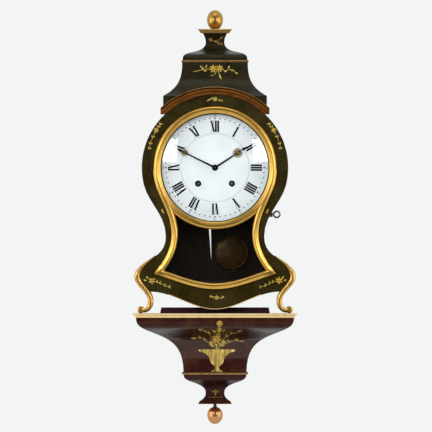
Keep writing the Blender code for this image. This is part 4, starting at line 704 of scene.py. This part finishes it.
# %% Domed glass and putty
DOME, THICK = 14.0 * MM, 2.0 * MM
RIM, FLANGE = SIGHT - 0.6 * MM, SIGHT + 3.9 * MM
bend = (RIM ** 2 + DOME ** 2) / (2 * DOME)
pane_front, pane_back = door_high.y - THICK, door_high.y
curve = [math.asin(RIM / bend) * step / 24 for step in range(25)]
outer = [(bend * math.sin(turn), pane_front - DOME + bend * (1 - math.cos(turn))) for turn in curve]
inner = [(r, y + THICK) for r, y in reversed(outer)]
flange = [(FLANGE, pane_front), (FLANGE, pane_back)]
bm = spun(outer + flange + inner, dial_centre, steps=128, closed=False)
keep("domed_dial_glass", bm, glass, "door", ["dial_glass"], smooth=60)

# The putty ring is coloured as painted shade: the shadow line between the dial and its ring.
PUTTY, PUTTY_RISE, PUTTY_GAP = 2.4 * MM, 1.2 * MM, 0.1 * MM
fillet = [(SIGHT - PUTTY_GAP, pane_front - PUTTY_RISE), (SIGHT - PUTTY_GAP, pane_front - 0.2 * MM),
          (SIGHT - PUTTY, pane_front - 0.6 * MM)]
keep("glass_putty_shadow_line", spun(fillet, dial_centre, steps=128), putty_shadow_line, "door")

# %% [markdown]
# ## Hour figures
# The hours are fired in black enamel: Roman figures set radially, with thick and thin strokes and
# fine serifs, and four strokes for four. A font would bring its own look, so each stroke is a bar,
# leaned and turned into its place, as a dial painter rules them.

# %% Hour figures
FIGURE_LOW, FIGURE_HIGH = 77.0 * MM, 100.6 * MM
STROKE, HAIR, PITCH = 4.0 * MM, 0.8 * MM, 5.0 * MM
SERIF, SERIF_REACH = 0.7 * MM, 1.4 * MM
V_LEAN, X_LEAN, WIDE = 3.1 * MM, 3.0 * MM, 8.6 * MM
PAINT_LIFT, PAINT_BODY = 0.10 * MM, 0.08 * MM
LEANS = {"I": [(0, 0, STROKE)], "V": [(0, -V_LEAN, STROKE), (0, V_LEAN, HAIR)],
         "X": [(X_LEAN, -X_LEAN, STROKE), (-X_LEAN, X_LEAN, HAIR)]}
WIDTHS = {"I": PITCH, "V": WIDE, "X": WIDE}
HOURS = ["XII", "I", "II", "III", "IIII", "V", "VI", "VII", "VIII", "IX", "X", "XI"]
paint_y = dial_front - PAINT_LIFT


def bar(bm, turn, low, high, width):
    """One flat bar, from low to high, each across and outwards, turned clockwise from twelve."""
    lean = Matrix(((width, high[0] - low[0], 0, (low[0] + high[0]) / 2), (0, 0, 1, 0),
                   (0, high[1] - low[1], 0, (low[1] + high[1]) / 2), (0, 0, 0, 1)))
    onto_dial = Matrix.Translation((0, paint_y, dial_z)) @ Matrix.Rotation(turn, 4, "Y")
    bmesh.ops.create_grid(bm, x_segments=1, y_segments=1, size=0.5, matrix=onto_dial @ lean)


bm = bmesh.new()
for hour, figure in enumerate(HOURS):
    turn = math.radians(30 * hour)
    across = -sum(WIDTHS[letter] for letter in figure) / 2
    for letter in figure:
        middle = across + WIDTHS[letter] / 2
        for low, high, width in LEANS[letter]:
            ends = ((middle + low, FIGURE_LOW), (middle + high, FIGURE_HIGH))
            bar(bm, turn, *ends, width)
            for x, z in ends:
                bar(bm, turn, (x, z - SERIF / 2), (x, z + SERIF / 2), width + SERIF_REACH)
        across += WIDTHS[letter]
keep("hour_figures", thickened(bm, PAINT_BODY), black_enamel, "clock")

# %% [markdown]
# ## Minutes
# A ring of dots counts the minutes, larger at every fifth, and small plain figures stand beyond
# them. The dots are touched on with a round brush, so they are discs. The figures are too small
# for their strokes to be told apart, so plain type is enough for them.

# %% Minutes
DOT, FIFTH_DOT, DOT_RING = 1.45 * MM, 1.9 * MM, 105.6 * MM
TYPE_SIZE, TYPE_RING = 5.6 * MM, 111.6 * MM
upright = Matrix.Rotation(math.pi / 2, 4, "X")
bm = bmesh.new()
for minute in range(60):
    turn = math.radians(6 * minute)
    at = Matrix.Translation((DOT_RING * math.sin(turn), paint_y, dial_z + DOT_RING * math.cos(turn)))
    bmesh.ops.create_circle(bm, cap_ends=True, segments=10, radius=DOT if minute % 5 else FIFTH_DOT,
                            matrix=at @ upright)
keep("minute_dots", thickened(bm, PAINT_BODY), black_enamel, "clock")

bm = bmesh.new()
for minute in range(5, 65, 5):
    type_line = bpy.data.curves.new("minute_figure", "FONT")
    type_line.body = str(minute)
    type_line.size = TYPE_SIZE
    type_line.align_x = type_line.align_y = "CENTER"
    flat = bpy.data.objects.new("minute_figure", type_line)
    mesh = bpy.data.meshes.new_from_object(flat)
    onto_dial = Matrix.Translation((0, paint_y, dial_z)) @ Matrix.Rotation(math.radians(6 * minute), 4, "Y")
    mesh.transform(onto_dial @ Matrix.Translation((0, 0, TYPE_RING)) @ upright)
    bm.from_mesh(mesh)
    bpy.data.objects.remove(flat)
keep("five_minute_figures", thickened(bm, PAINT_BODY), black_enamel, "clock")

# %% [markdown]
# ## Fine lines
# A fine grey circle runs inside the hours, drawn with the dial turning under a still brush. Each
# winding hole gets a black ring, painted shade that widens the dark of the hole. Both are spun here.


# %% Fine lines
def flat_ring(bm, x, z, inside, outside, steps):
    """A thin painted ring on the dial round a place."""
    section = [(inside, paint_y), (outside, paint_y), (outside, paint_y + PAINT_BODY),
               (inside, paint_y + PAINT_BODY)]
    return spun(section, (x, 0, z), steps=steps, bm=bm)


WINDING_X, WINDING_DROP = 36.3 * MM, 34.4 * MM
keep("chapter_circle", flat_ring(bmesh.new(), 0, dial_z, 73.1 * MM, 73.9 * MM, 128), grey_enamel, "clock")
# Black rings round the winding holes: painted shade that widens the dark of each hole.
bm = bmesh.new()
for side in (-1, 1):
    flat_ring(bm, side * WINDING_X, dial_z - WINDING_DROP, 4.7 * MM, 6.9 * MM, 40)
keep("winding_hole_painted_shade", bm, black_enamel, "clock")

# %% [markdown]
# ## The hands
# The hands are filed from thin steel and blued over a flame, with a barbed tip, and each carries a
# little gilt rosette. The blade is one flat outline given its thickness, with a turned boss. The
# rosettes are rings of small petals round a button, which catch more light than a plain disc.

# %% Hands and rosettes
hand_turns = {"hour": math.radians(57.0), "minute": math.radians(296.5)}
HAND, BORE, PETALS = 1.0 * MM, 1.6 * MM, 14


def hand(kind, length, boss, rosette, reach):
    """A blade with its boss, and a rosette of some reach at a distance from the centre."""
    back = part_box(kind + "_hand")[1].y
    turned = Matrix.Translation((0, back, dial_z)) @ Matrix.Rotation(hand_turns[kind], 4, "Y")
    half = [(2.3 * MM, 0), (1.6 * MM, 0.5 * length), (1.2 * MM, 0.85 * length),
            (3.3 * MM, 0.845 * length), (0.35 * MM, length)]
    bm = bmesh.new()
    bm.faces.new([bm.verts.new((x, -HAND, z)) for x, z in half + [(-x, z) for x, z in reversed(half)]])
    thickened(bm, HAND)
    section = [(BORE, -0.02 * MM), (boss, -0.02 * MM), (boss, -0.9 * HAND), (0.8 * boss, -1.25 * HAND),
               (BORE, -1.25 * HAND)]
    spun(section, (0, 0, 0), steps=40, bm=bm)
    bmesh.ops.transform(bm, matrix=turned, verts=bm.verts)
    keep("blued_" + kind + "_hand", bm, blued_steel, kind, [kind + "_hand"])
    bm = bmesh.new()
    heart = Matrix.Translation((0, -0.5 * HAND, rosette))
    petal = Matrix.Diagonal((0.10 * reach, 0.5 * MM, 0.42 * reach, 1))
    petal = Matrix.Translation((0, 0, 0.6 * reach)) @ petal
    for step in range(PETALS):
        lay = heart @ Matrix.Rotation(2 * math.pi * step / PETALS, 4, "Y") @ petal
        bmesh.ops.create_icosphere(bm, subdivisions=2, radius=1.0, matrix=lay)
    button = Matrix.Diagonal((0.3 * reach, 0.9 * MM, 0.3 * reach, 1))
    bmesh.ops.create_icosphere(bm, subdivisions=2, radius=1.0, matrix=heart @ button)
    bmesh.ops.transform(bm, matrix=turned, verts=bm.verts)
    keep(kind + "_rosette", bm, rosette_gilt, kind)


hand("hour", 84.0 * MM, 6.8 * MM, rosette=58.0 * MM, reach=11.6 * MM)
hand("minute", 95.0 * MM, 5.8 * MM, rosette=72.4 * MM, reach=8.2 * MM)

# %% [markdown]
# ## The cornice
# The cornice is a strip of moulding bent over the arch and cut off upright at its ends, with a
# fillet along its top in paler leaf, a painted highlight where the top edge catches the light. It
# is spun over a wide arc and trimmed by three planes, which is how such a strip is fitted to a case.

# %% Cornice
cornice_low, cornice_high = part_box("hood_cornice")
ARCH_IN, ARCH_OUT = 157.8 * MM, 173.8 * MM
CORNICE_END = spot(0, 114)[1]


def bent_strip(section, half):
    """Spin a section of radius and depth over the arch and cut its ends upright."""
    bm = bmesh.new()
    lead = Matrix.Translation((0, 0, dial_z)) @ Matrix.Rotation(math.radians(-60), 4, "Y")
    verts = [bm.verts.new(lead @ Vector((0, y, r))) for r, y in section]
    edges = [bm.edges.new(pair) for pair in zip(verts, verts[1:] + verts[:1])]
    bmesh.ops.spin(bm, geom=verts + edges, cent=(0, 0, dial_z), axis=(0, 1, 0),
                   angle=math.radians(120), steps=96)
    for point, out in (((-half, 0, 0), (-1, 0, 0)), ((half, 0, 0), (1, 0, 0)),
                       ((0, 0, CORNICE_END), (0, 0, -1))):
        cut = bmesh.ops.bisect_plane(bm, geom=bm.verts[:] + bm.edges[:] + bm.faces[:], plane_co=point,
                                     plane_no=out, clear_outer=True)["geom_cut"]
        bmesh.ops.contextual_create(bm, geom=edges_in(cut))
    bmesh.ops.recalc_face_normals(bm, faces=bm.faces)
    return bm


front, lip = cornice_low.y, 10 * MM
crown_r, fillet_r = ARCH_OUT - 1.4 * MM, ARCH_OUT - 1.3 * MM
section = [(ARCH_IN, cornice_high.y), (ARCH_IN, front + 0.42 * lip),
           (ARCH_IN + 1.2 * MM, front + 0.34 * lip)]
section += [(ARCH_IN + 6.6 * MM - 4.8 * MM * math.cos(math.pi * step / 10),
             front + 0.3 * lip * (1 - math.sin(math.pi * step / 10))) for step in range(11)]
section += [(ARCH_OUT - 3.6 * MM, front + 0.55 * lip), (crown_r, front + 0.5 * lip),
            (crown_r, cornice_high.y)]
keep("bent_cornice", bent_strip(section, cornice_high.x), cornice_gilt, "clock", ["hood_cornice"])
# The fillet's paler leaf is a painted highlight along the cornice's top edge.
section = [(fillet_r, cornice_high.y), (fillet_r, front + 0.36 * lip),
           (ARCH_OUT - 0.7 * MM, front + 0.3 * lip), (ARCH_OUT, front + 0.36 * lip),
           (ARCH_OUT, cornice_high.y)]
keep("cornice_fillet", bent_strip(section, cornice_high.x), bead_gilt, "clock")

# %% [markdown]
# ## Top ball
# The ball over the hood is turned on a lathe, a little higher than wide and flat where it stands. Two
# quarter curves, a short one below and a full one above, give its outline, which is spun.

# %% Top ball
low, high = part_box("top_finial")
rise, ball, seat = high.z - low.z, (high.x - low.x) / 2, 7.8 * MM
lowest = math.acos(seat / ball)
profile = [(0, 0)]
for step in range(16):
    turn = lowest * (1 - step / 15)
    profile.append((ball * math.cos(turn), 0.5 * rise * (1 - math.sin(turn) / math.sin(lowest))))
for step in range(1, 17):
    turn = math.pi / 2 * step / 16
    profile.append((ball * math.cos(turn) if step < 16 else 0, 0.5 * rise * (1 + math.sin(turn))))
axis_y = (low.y + high.y) / 2
bm = spun(profile, (0, axis_y, low.z), "Z", 64, closed=False)
keep("turned_top_ball", bm, ball_brass, "clock", ["top_finial"], smooth=50)

# %% [markdown]
# ## Drop ball and key
# The lower ball hangs on a dark stem and narrows downwards like a drop. The stem is a turned pin. The
# key only needs its solid's facets smoothed, since a file leaves no corners on a bow.

# %% Drop ball and key
low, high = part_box("bracket_finial")
ball, axis_y = (high.x - low.x) / 2, (low.y + high.y) / 2
STEM, DROP = 4.1 * MM, 3.6 * MM
first = math.asin(STEM / ball)
profile = [(STEM, low.z + ball + ball * math.cos(first) - 0.2 * MM)]
for step in range(33):
    turn = first + (math.pi - first) * step / 32
    reach = ball if turn < math.pi / 2 else ball + DROP
    profile.append((ball * math.sin(turn) if step < 32 else 0, low.z + ball + reach * math.cos(turn)))
bm = spun([(0, profile[0][1])] + profile, (0, axis_y, 0), "Z", 64, closed=False)
keep("turned_drop_ball", bm, drop_brass, "clock", ["bracket_finial"], smooth=50)
foot = low.z + ball + ball * math.cos(first)
pin = [(0, foot), (STEM, foot), (0.8 * STEM, (foot + high.z) / 2), (STEM, high.z), (0, high.z)]
keep("drop_stem", spun(pin, (0, axis_y, 0), "Z", 32, closed=False), dark_steel, "clock")
keep("smooth_key", copy_of("key"), key_steel, "key", ["key"], smooth=60)

# %% [markdown]
# ## Lip edge
# A thin bronzed edge closes the bracket at its lower lip. It is a flat board, wider below than above,
# so a box is spread at its floor and its edges are eased.

# %% Lip edge
low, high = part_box("bracket_lower_body")
near_floor = [vert.co for vert in nodes["bracket_lower_body"].data.vertices
              if vert.co.z < low.z + 0.5 * MM]
lip_x, lip_y = max(point.x for point in near_floor), min(point.y for point in near_floor)
LIP, SPREAD, LIP_FRONT = 4.0 * MM, 2.2 * MM, 2.0 * MM
lip_middle = (lip_y + high.y) / 2
bm = bmesh.new()
bmesh.ops.create_cube(bm, size=1.0, matrix=Matrix.Translation((0, lip_middle, low.z - LIP / 2))
                      @ Matrix.Diagonal((2 * lip_x, high.y - lip_y, LIP, 1)))
floor_verts = [vert for vert in bm.verts if vert.co.z < low.z - LIP / 2]
bmesh.ops.scale(bm, vec=((lip_x + SPREAD) / lip_x, 1, 1), verts=floor_verts)
bmesh.ops.translate(bm, vec=(0, -LIP_FRONT, 0),
                    verts=[vert for vert in floor_verts if vert.co.y < lip_middle])
bmesh.ops.bevel(bm, geom=bm.edges[:], offset=0.8 * MM, segments=2, profile=0.5, affect="EDGES",
                material=-1)
keep("lip_edge", bm, cornice_gilt, "clock", smooth=40)

# %% [markdown]
# ## Apron line
# A gold line is drawn along the wavy lower edge of the case, in the palest leaf, which also stands
# for the edge's highlight as a painted highlight. A painter's lining brush leaves a thin raised
# thread, so a small round is swept along the wave.

# %% Apron line
LINE, LINE_REACH = 0.8 * MM, 100 * MM
APRON_HALF, APRON_TOP, APRON_LOW = 140 * MM, 47 * MM, 9 * MM
stations = []
for step in range(-28, 29):
    x = LINE_REACH * step / 28
    turn = math.pi * x / APRON_HALF
    slope = (APRON_TOP - APRON_LOW) * math.pi / (2 * APRON_HALF) * math.sin(turn)
    along = Vector((1, 0, slope)).normalized()
    z = APRON_LOW + (APRON_TOP - APRON_LOW) * (1 - math.cos(turn)) / 2 + 0.7 * MM
    stations.append(Matrix(((-along.z, 0, along.x, x), (0, 1, 0, case_front),
                            (along.x, 0, along.z, z), (0, 0, 0, 1))))
bm = bmesh.new()
swept(bm, [(LINE * math.cos(turn), LINE * math.sin(turn) - 0.2 * MM, 0)
           for turn in (math.pi * step / 4 for step in range(8))], stations)
# Its pale leaf is partly a painted highlight along the case's lower edge.
keep("apron_line", bm, shelf_gilt, "clock")

# %% [markdown]
# ## Painted gilt ornament
# Sprays of flowers and leaves are painted on the lacquer in shell gold, with a footed urn of flowers
# on the bracket. They are common motifs of such cases, so they are made here afresh from three brush
# marks: a leaf, a tendril and a blossom. Places are given in the photograph's pixels, because that is
# where they were measured. Four paints are enough.

# %% Paints
# Shell gold: ground leaf in gum, pale where it lies thick and brown where the ground shows.
shell_gold = mottled("shell_gold_paint", "gilt", 4 * MM,
                     [(0.3, "#8f7c38"), (0.55, "#d6ba5a"), (0.75, "#f4e08c")], 4.0,
                     Roughness=0.45, Metallic=0.35)[0]
# Warm gold: redder leaf for the flowers, so that they stand out from their stems.
warm_gold = mottled("warm_gold_paint", "gilt", 3 * MM, [(0.3, "#8f6614"), (0.7, "#ecc64a")],
                    4.0, Roughness=0.45, Metallic=0.3)[0]
# Pale gold: for the urn, in upright strokes like flutes.
urn_gold = mottled("pale_gold_paint", "gilt", (6 * MM, 100 * MM, 35 * MM),
                   [(0.34, "#806020"), (0.55, "#d0b25a"), (0.7, "#f4e09c")], 4.0,
                   Roughness=0.42, Metallic=0.3)[0]
# Faded rust: old colour that has sunk into the lacquer, dull and brown.
rust_paint = mottled("faded_rust_paint", "gilt", 4 * MM, [(0.3, "#6e431a"), (0.7, "#b48434")],
                     4.0, Roughness=0.5)[0]
print("four paints")

# %% [markdown]
# ## Brush marks
# Each mark is drawn flat and then laid on the surface behind it, so that it follows the curved
# bracket and hood as paint does, and it gets a thin body, since such paint stands a little proud.


# %% Brush marks
def leaf(bm, at, length, width, lean):
    """A pointed leaf, sizes in pixels, leaning clockwise from upright by degrees."""
    x, z = spot(*at)
    shape = Matrix.Translation((x, 0, z)) @ Matrix.Rotation(math.radians(lean), 4, "Y")
    shape = shape @ Matrix.Diagonal((width * PIXEL / 2, 1, length * PIXEL / 2, 1)) @ upright
    bmesh.ops.create_circle(bm, cap_ends=True, segments=6, radius=1.0, matrix=shape)


def tendril(bm, points, width):
    """A thin stem through places in pixels, as short joined bars."""
    for a, b in zip(points, points[1:]):
        (x0, z0), (x1, z1) = spot(*a), spot(*b)
        reach, lean = math.hypot(x1 - x0, z1 - z0), math.atan2(x1 - x0, z1 - z0)
        shape = Matrix.Translation(((x0 + x1) / 2, 0, (z0 + z1) / 2)) @ Matrix.Rotation(lean, 4, "Y")
        shape = shape @ Matrix.Diagonal((width * PIXEL, 1, 1.05 * reach, 1)) @ upright
        bmesh.ops.create_grid(bm, x_segments=1, y_segments=6, size=0.5, matrix=shape)


def blossom(bm, at, size, petals):
    """A flower seen from the front: petals round a centre, size in pixels across."""
    for step in range(petals):
        turn = 2 * math.pi * step / petals
        root = (at[0] + 0.3 * size * math.sin(turn), at[1] - 0.3 * size * math.cos(turn))
        leaf(bm, root, 0.50 * size, 0.25 * size, 360 * step / petals)


def lay_on(bm, node, lift=0.10):
    """Drop a flat drawing on to a solid's front and give it a body; lift is in millimetres."""
    face = BVHTree.FromPolygons([vert.co for vert in nodes[node].data.vertices],
                                [side.vertices for side in nodes[node].data.polygons])
    for vert in bm.verts:
        hit = face.ray_cast(Vector((vert.co.x, -1, vert.co.z)), Vector((0, 1, 0)))[0]
        vert.co.y = hit.y - lift * MM
    return thickened(bm, (lift + 0.1) * MM)


def leaves(bm, marks, length, width):
    """Leaves of one size, each with its column, row and lean."""
    for column, row, lean in marks:
        leaf(bm, (column, row), length, width, lean)


print("leaf, tendril and blossom")

# %% [markdown]
# ## Hood and crown sprays
# Two blossoms with leafy stems to both sides lie on the hood, and a smaller, faded spray on the crown.
# The blossoms are a second, thicker layer over the stems, as a painter would add them last.

# %% Hood and crown sprays
bm = bmesh.new()
tendril(bm, [(193.2, 71.4), (197, 71), (200.3, 69.9), (204, 69.5), (209, 68.5)], 0.5)
tendril(bm, [(222, 69.0), (225.5, 70.6), (230, 68.8), (233.5, 71), (237.8, 73.0)], 0.5)
tendril(bm, [(216.5, 70.5), (215.5, 73.5), (212.2, 75.6), (210.3, 75)], 0.5)
tendril(bm, [(217.5, 70.5), (219.5, 74)], 0.5)
leaves(bm, [(201.3, 66.8, -35), (206.2, 66.3, 20), (205.2, 70.6, 70), (225.3, 71.2, 110), (228.9, 67.0, 30),
            (232.5, 70.2, 80), (236.5, 73.0, 120), (219.7, 75.2, 175), (220.6, 77.4, 160), (202.8, 68.4, 40)],
       3.4, 1.7)
keep("hood_spray", lay_on(bm, "hood_body"), shell_gold, "clock")
bm = bmesh.new()
blossom(bm, (213.1, 68.6), 7.6, 7)
blossom(bm, (219.6, 68.2), 7.0, 7)
keep("hood_blossoms", lay_on(bm, "hood_body", 0.2), warm_gold, "clock")

bm = bmesh.new()
blossom(bm, (210.5, 39.3), 4.4, 5)
tendril(bm, [(212, 40), (216.6, 41.3), (219, 39.5), (221.7, 37.2)], 0.5)
leaves(bm, [(215.5, 41.0, 100), (221.5, 37.3, 45), (221.3, 43.4, 120), (218, 42.6, 140)], 4.0, 1.8)
keep("crown_spray", lay_on(bm, "hood_crown"), rust_paint, "clock")

# %% [markdown]
# ## Front board sprays
# Garlands hang beside the dial and lie in the corners below, the same left and right, with a small
# flower over the dial and one under the sill. One side is listed, and the other is its mirror image.

# %% Front board sprays
bm = bmesh.new()
blossom(bm, (215.1, 99.0), 4.6, 6)
leaves(bm, [(210.4, 99.2, 75), (208.2, 100.4, 60), (219.6, 100.2, 105), (221.6, 100.6, 100),
            (212.6, 98.2, 120)], 3.0, 1.5)
SIDE = [(160.6, 124.4), (158.4, 127.2), (156.2, 130.3), (152.7, 137.2), (150.3, 144.0), (149.3, 148.9)]
CHAIN = [(151.9, 280.8), (156.5, 281.6), (159.6, 283.0), (164.0, 285.2), (168.9, 286.9)]
for flip in (1, -1):
    side, chain = ([(DIAL_COLUMN + flip * (x - DIAL_COLUMN), y) for x, y in line] for line in (SIDE, CHAIN))
    tendril(bm, side, 0.4)
    tendril(bm, chain, 0.4)
    for lean in (-38, 62):
        turn = math.radians(lean)
        leaves(bm, [(x + flip * 1.1 * math.sin(turn), y - math.cos(turn), flip * (lean + 25))
                    for x, y in side], 3.0, 1.3)
    for lean in (40, 130):
        turn = math.radians(lean)
        leaves(bm, [(x + flip * 0.9 * math.sin(turn), y - 0.9 * math.cos(turn), flip * lean)
                    for x, y in chain[1:]], 2.8, 1.3)
    for x, y, lean in ((145.0, 280.2, -70), (147.2, 277.6, -25), (162.1, 210.2, 20), (163.2, 212.2, 150)):
        leaf(bm, (DIAL_COLUMN + flip * (x - DIAL_COLUMN), y), 3.2, 1.5, flip * lean)
blossom(bm, (216.7, 297.6), 4.6, 6)
leaves(bm, [(212.6, 297.0, 100), (210.6, 296.2, 45), (220.9, 298.0, 80), (222.9, 296.9, 135)], 3.0, 1.5)
keep("board_sprays", lay_on(bm, "case_front_board"), shell_gold, "clock")
bm = bmesh.new()
for x in (156.2, 273.8):
    blossom(bm, (x, 130.3), 5.0, 6)
for x in (151.9, 279.2):
    blossom(bm, (x, 280.4), 7.0, 6)
keep("board_blossoms", lay_on(bm, "case_front_board", 0.2), warm_gold, "clock")

# %% [markdown]
# ## Urn
# The urn has a wide rim, a bowl that narrows to a stem, and a spread foot on the bead. A painter
# draws half of it and folds the paper. Here one line for the rim is extruded down row by row and
# scaled to each width, so both halves are the same.

# %% Urn
URN = 217.0
URN_FOOT = SHELF_ROW - (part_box("bracket_body")[0].z + 0.3 * MM) / PIXEL
URN_HALF = [(18.3, 349.6), (18.3, 351.3), (12.8, 353.0), (8.9, 356.0), (7.0, 359.4), (6.6, 361.5),
            (6.0, 363.3), (4.1, 365.0), (2.1, 366.8), (2.2, 369.0), (3.2, 370.2), (6.0, URN_FOOT)]
bm = bmesh.new()
rim_half, rim_row = URN_HALF[0]
(x0, z0), (x1, z1) = spot(URN - rim_half, rim_row), spot(URN + rim_half, rim_row)
rim = [bm.edges.new((bm.verts.new((x0, 0, z0)), bm.verts.new((x1, 0, z1))))]
bmesh.ops.subdivide_edges(bm, edges=rim, cuts=9)
rim = bm.edges[:]
to_middle = Matrix.Translation((-spot(URN, 0)[0], 0, 0))
for (wide, row), (new_wide, new_row) in zip(URN_HALF, URN_HALF[1:]):
    grown = bmesh.ops.extrude_edge_only(bm, edges=rim)["geom"]
    moved = points_in(grown)
    rim = [part for part in edges_in(grown) if all(vert in moved for vert in part.verts)]
    bmesh.ops.scale(bm, vec=(new_wide / wide, 1, 1), space=to_middle, verts=moved)
    bmesh.ops.translate(bm, vec=(0, 0, -(new_row - row) * PIXEL), verts=moved)
keep("painted_urn", lay_on(bm, "bracket_body"), urn_gold, "clock")

# %% [markdown]
# ## Flowers on the bracket
# Five sprays rise from the urn, each a stem with a pair of leaves at every bend, and blossoms over
# them. A small faded flower with a line under it sits on the lower bracket.

# %% Flowers on the bracket
ROOT = (217.3, 349.6)
SPRAYS = [[(200.4, 330.4), (204.6, 331.4), (208.6, 333.3), (212.8, 339.5)],
          [(193.5, 339.1), (199.3, 337.9), (203.9, 339.7), (209.7, 343.8), (214.0, 347.5)],
          [(239.9, 331.6), (231.8, 333.9), (226.5, 336.4), (222.6, 340.5)],
          [(242.2, 342.0), (236.4, 340.3), (228.3, 342.0), (222.5, 346.1)],
          [(219.6, 323.4), (219.4, 329.2), (218.6, 334.5), (217.2, 341.0)]]
bm = bmesh.new()
for spray in SPRAYS:
    tendril(bm, spray + [ROOT], 0.36)
    for i, (x, y) in enumerate(spray[:-1]):
        for lean in (-55 + 25 * i, 45 + 25 * i):
            turn = math.radians(lean)
            leaf(bm, (x + 1.2 * math.sin(turn), y - 1.2 * math.cos(turn)), 2.6, 1.0, lean)
leaves(bm, [(210.9, 343.4, -60), (212.4, 345.8, -100), (223.7, 342.6, 60), (222.4, 345.4, 110),
            (216.2, 345.6, 170), (219.8, 344.6, 10), (214.6, 331.4, -60), (224.0, 330.6, 60)], 3.8, 1.8)
keep("urn_sprays", lay_on(bm, "bracket_body"), shell_gold, "clock")
bm = bmesh.new()
for x, y, size in ((219.6, 323.6, 6.4), (216.6, 339.0, 9.0), (219.4, 330.0, 5.0), (211.2, 343.6, 4.8),
                   (223.6, 342.4, 4.8)):
    blossom(bm, (x, y), size, 7)
keep("urn_blossoms", lay_on(bm, "bracket_body", 0.2), warm_gold, "clock")
bm = bmesh.new()
blossom(bm, (215.5, 392.0), 3.8, 5)
leaves(bm, [(212.8, 392.2, 80), (218.2, 392.2, -80), (215.5, 394.6, 0)], 2.8, 1.3)
tendril(bm, [(208.6, 397.6), (222.4, 397.6)], 0.45)
keep("lower_bracket_spray", lay_on(bm, "bracket_lower_body"), rust_paint, "clock")

# %% [markdown]
# ## Feet
# The feet are bent brass straps that swell towards the ankle and end in a scroll at the toe, with
# rounded edges that draw a bright line down each curve. A round-edged section is swept along the line
# of the foot, read with its half width from the photograph, and the scroll is a turned button.

# %% Feet
FOOT_LINE = [(155.2, 255.6, 0.4), (151.0, 259.0, 0.8), (147.0, 262.0, 1.1), (143.6, 265.0, 1.5),
             (140.8, 268.0, 1.8), (137.9, 272.3, 2.5), (137.2, 277.3, 2.9), (139.0, 281.8, 2.9),
             (142.3, 286.3, 2.7), (146.2, 290.8, 2.6), (149.4, 295.6, 2.7), (150.6, 300.6, 2.8),
             (149.9, 305.4, 2.7), (147.6, 309.0, 2.3), (144.3, 310.7, 1.9), (141.0, 310.4, 1.6)]
SCROLL, SCROLL_COLUMN = 7.4 * MM, 140.6


def bent_strap(flip, low, high):
    """One foot: a strap of round section that swells towards the ankle and ends in a scroll."""
    bends = []
    for column, row, half in FOOT_LINE:
        x, z = spot(column, row)
        bends.append(Vector((flip * x, half * PIXEL, z)))
    slopes = [(bends[min(i + 1, len(bends) - 1)] - bends[max(i - 1, 0)]) / 6 for i in range(len(bends))]
    fine = []
    for i, (here, there) in enumerate(zip(bends, bends[1:])):
        fine += interpolate_bezier(here, here + slopes[i], there - slopes[i + 1], there, 5)[:-1]
    fine.append(bends[-1])
    deep, middle_y = (high.y - low.y) / 2, (high.y + low.y) / 2
    stations = []
    for i, point in enumerate(fine):
        along = fine[min(i + 1, len(fine) - 1)] - fine[max(i - 1, 0)]
        along = Vector((along.x, 0, along.z)).normalized()
        half = point.y
        stations.append(Matrix(((-along.z * half, 0, along.x, point.x), (0, deep, 0, middle_y),
                                (along.x * half, 0, along.z, point.z), (0, 0, 0, 1))))
    bm = bmesh.new()
    nose = [(math.cos(turn), -0.7 + 0.3 * math.sin(turn), 0)
            for turn in (math.pi * (1 + step / 10) for step in range(11))]
    swept(bm, nose + [(-x, -y, 0) for x, y, _ in nose], stations)
    x, centre_z = flip * spot(SCROLL_COLUMN, 0)[0], low.z + SCROLL
    button = [(0, -deep - 0.6 * MM), (2.4 * MM, -deep - 0.4 * MM), (3.0 * MM, -deep + 0.6 * MM),
              (4.2 * MM, -deep + 0.4 * MM), (6.4 * MM, -deep + 0.9 * MM), (SCROLL, -deep + 2.6 * MM)]
    button += [(r, -y) for r, y in reversed(button)]
    return spun(button, (x, middle_y, centre_z), steps=40, closed=False, bm=bm)


for node in ("front_left_foot", "front_right_foot", "rear_left_foot", "rear_right_foot"):
    bm = bent_strap(1 if "left" in node else -1, *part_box(node))
    keep("bent_" + node, bm, foot_brass, "clock", [node], smooth=50)

# %% [markdown]
# ## Bob and winding tips
# The bob is a lens turned from brass with a raised rim, and the winding squares end in a small
# polished tip that shows as a pale point in its hole. All are turned, so all are spun.

# %% Bob and winding tips
low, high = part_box("pendulum_bob")
middle = (low + high) / 2
wide, thick = (high.x - low.x) / 2, (high.y - low.y) / 2
profile = [(0, -thick)] + [(wide * 0.93 * math.sin(turn), -thick + 0.62 * thick * (1 - math.cos(turn)))
                           for turn in (math.pi / 2 * step / 14 for step in range(1, 15))]
profile += [(0.94 * wide, -0.5 * thick), (0.97 * wide, -0.55 * thick), (0.995 * wide, -0.4 * thick),
            (wide, 0)]
profile += [(r, -y) for r, y in reversed(profile[:-1])]
bm = spun(profile, middle, steps=72, closed=False)
# The bob's brass is darkened as painted shade.
keep("turned_bob", bm, shaded_bob_brass, "pendulum", ["pendulum_bob"], smooth=50)
WIRE = 0.6 * MM
wire = [(0.97 * wide + WIRE * math.cos(turn), -0.52 * thick + WIRE * math.sin(turn))
        for turn in (math.pi * step / 5 for step in range(10))]
# The rim's paler brass is a painted highlight on the darkened bob.
keep("bob_rim", spun(wire, middle, steps=72), rim_highlight_brass, "pendulum", smooth=60)
for body in ("strike_arbor", "going_arbor"):
    low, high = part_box(body.replace("_arbor", "_winding_arbor"))
    middle = (low + high) / 2
    tip = [(0, low.y - 0.7 * MM), (1.2 * MM, low.y - 0.5 * MM), (1.7 * MM, low.y - 0.02 * MM),
           (0, low.y - 0.02 * MM)]
    bm = spun(tip, (middle.x, 0, middle.z), steps=24, closed=False)
    keep(body + "_tip", bm, bright_steel, body)
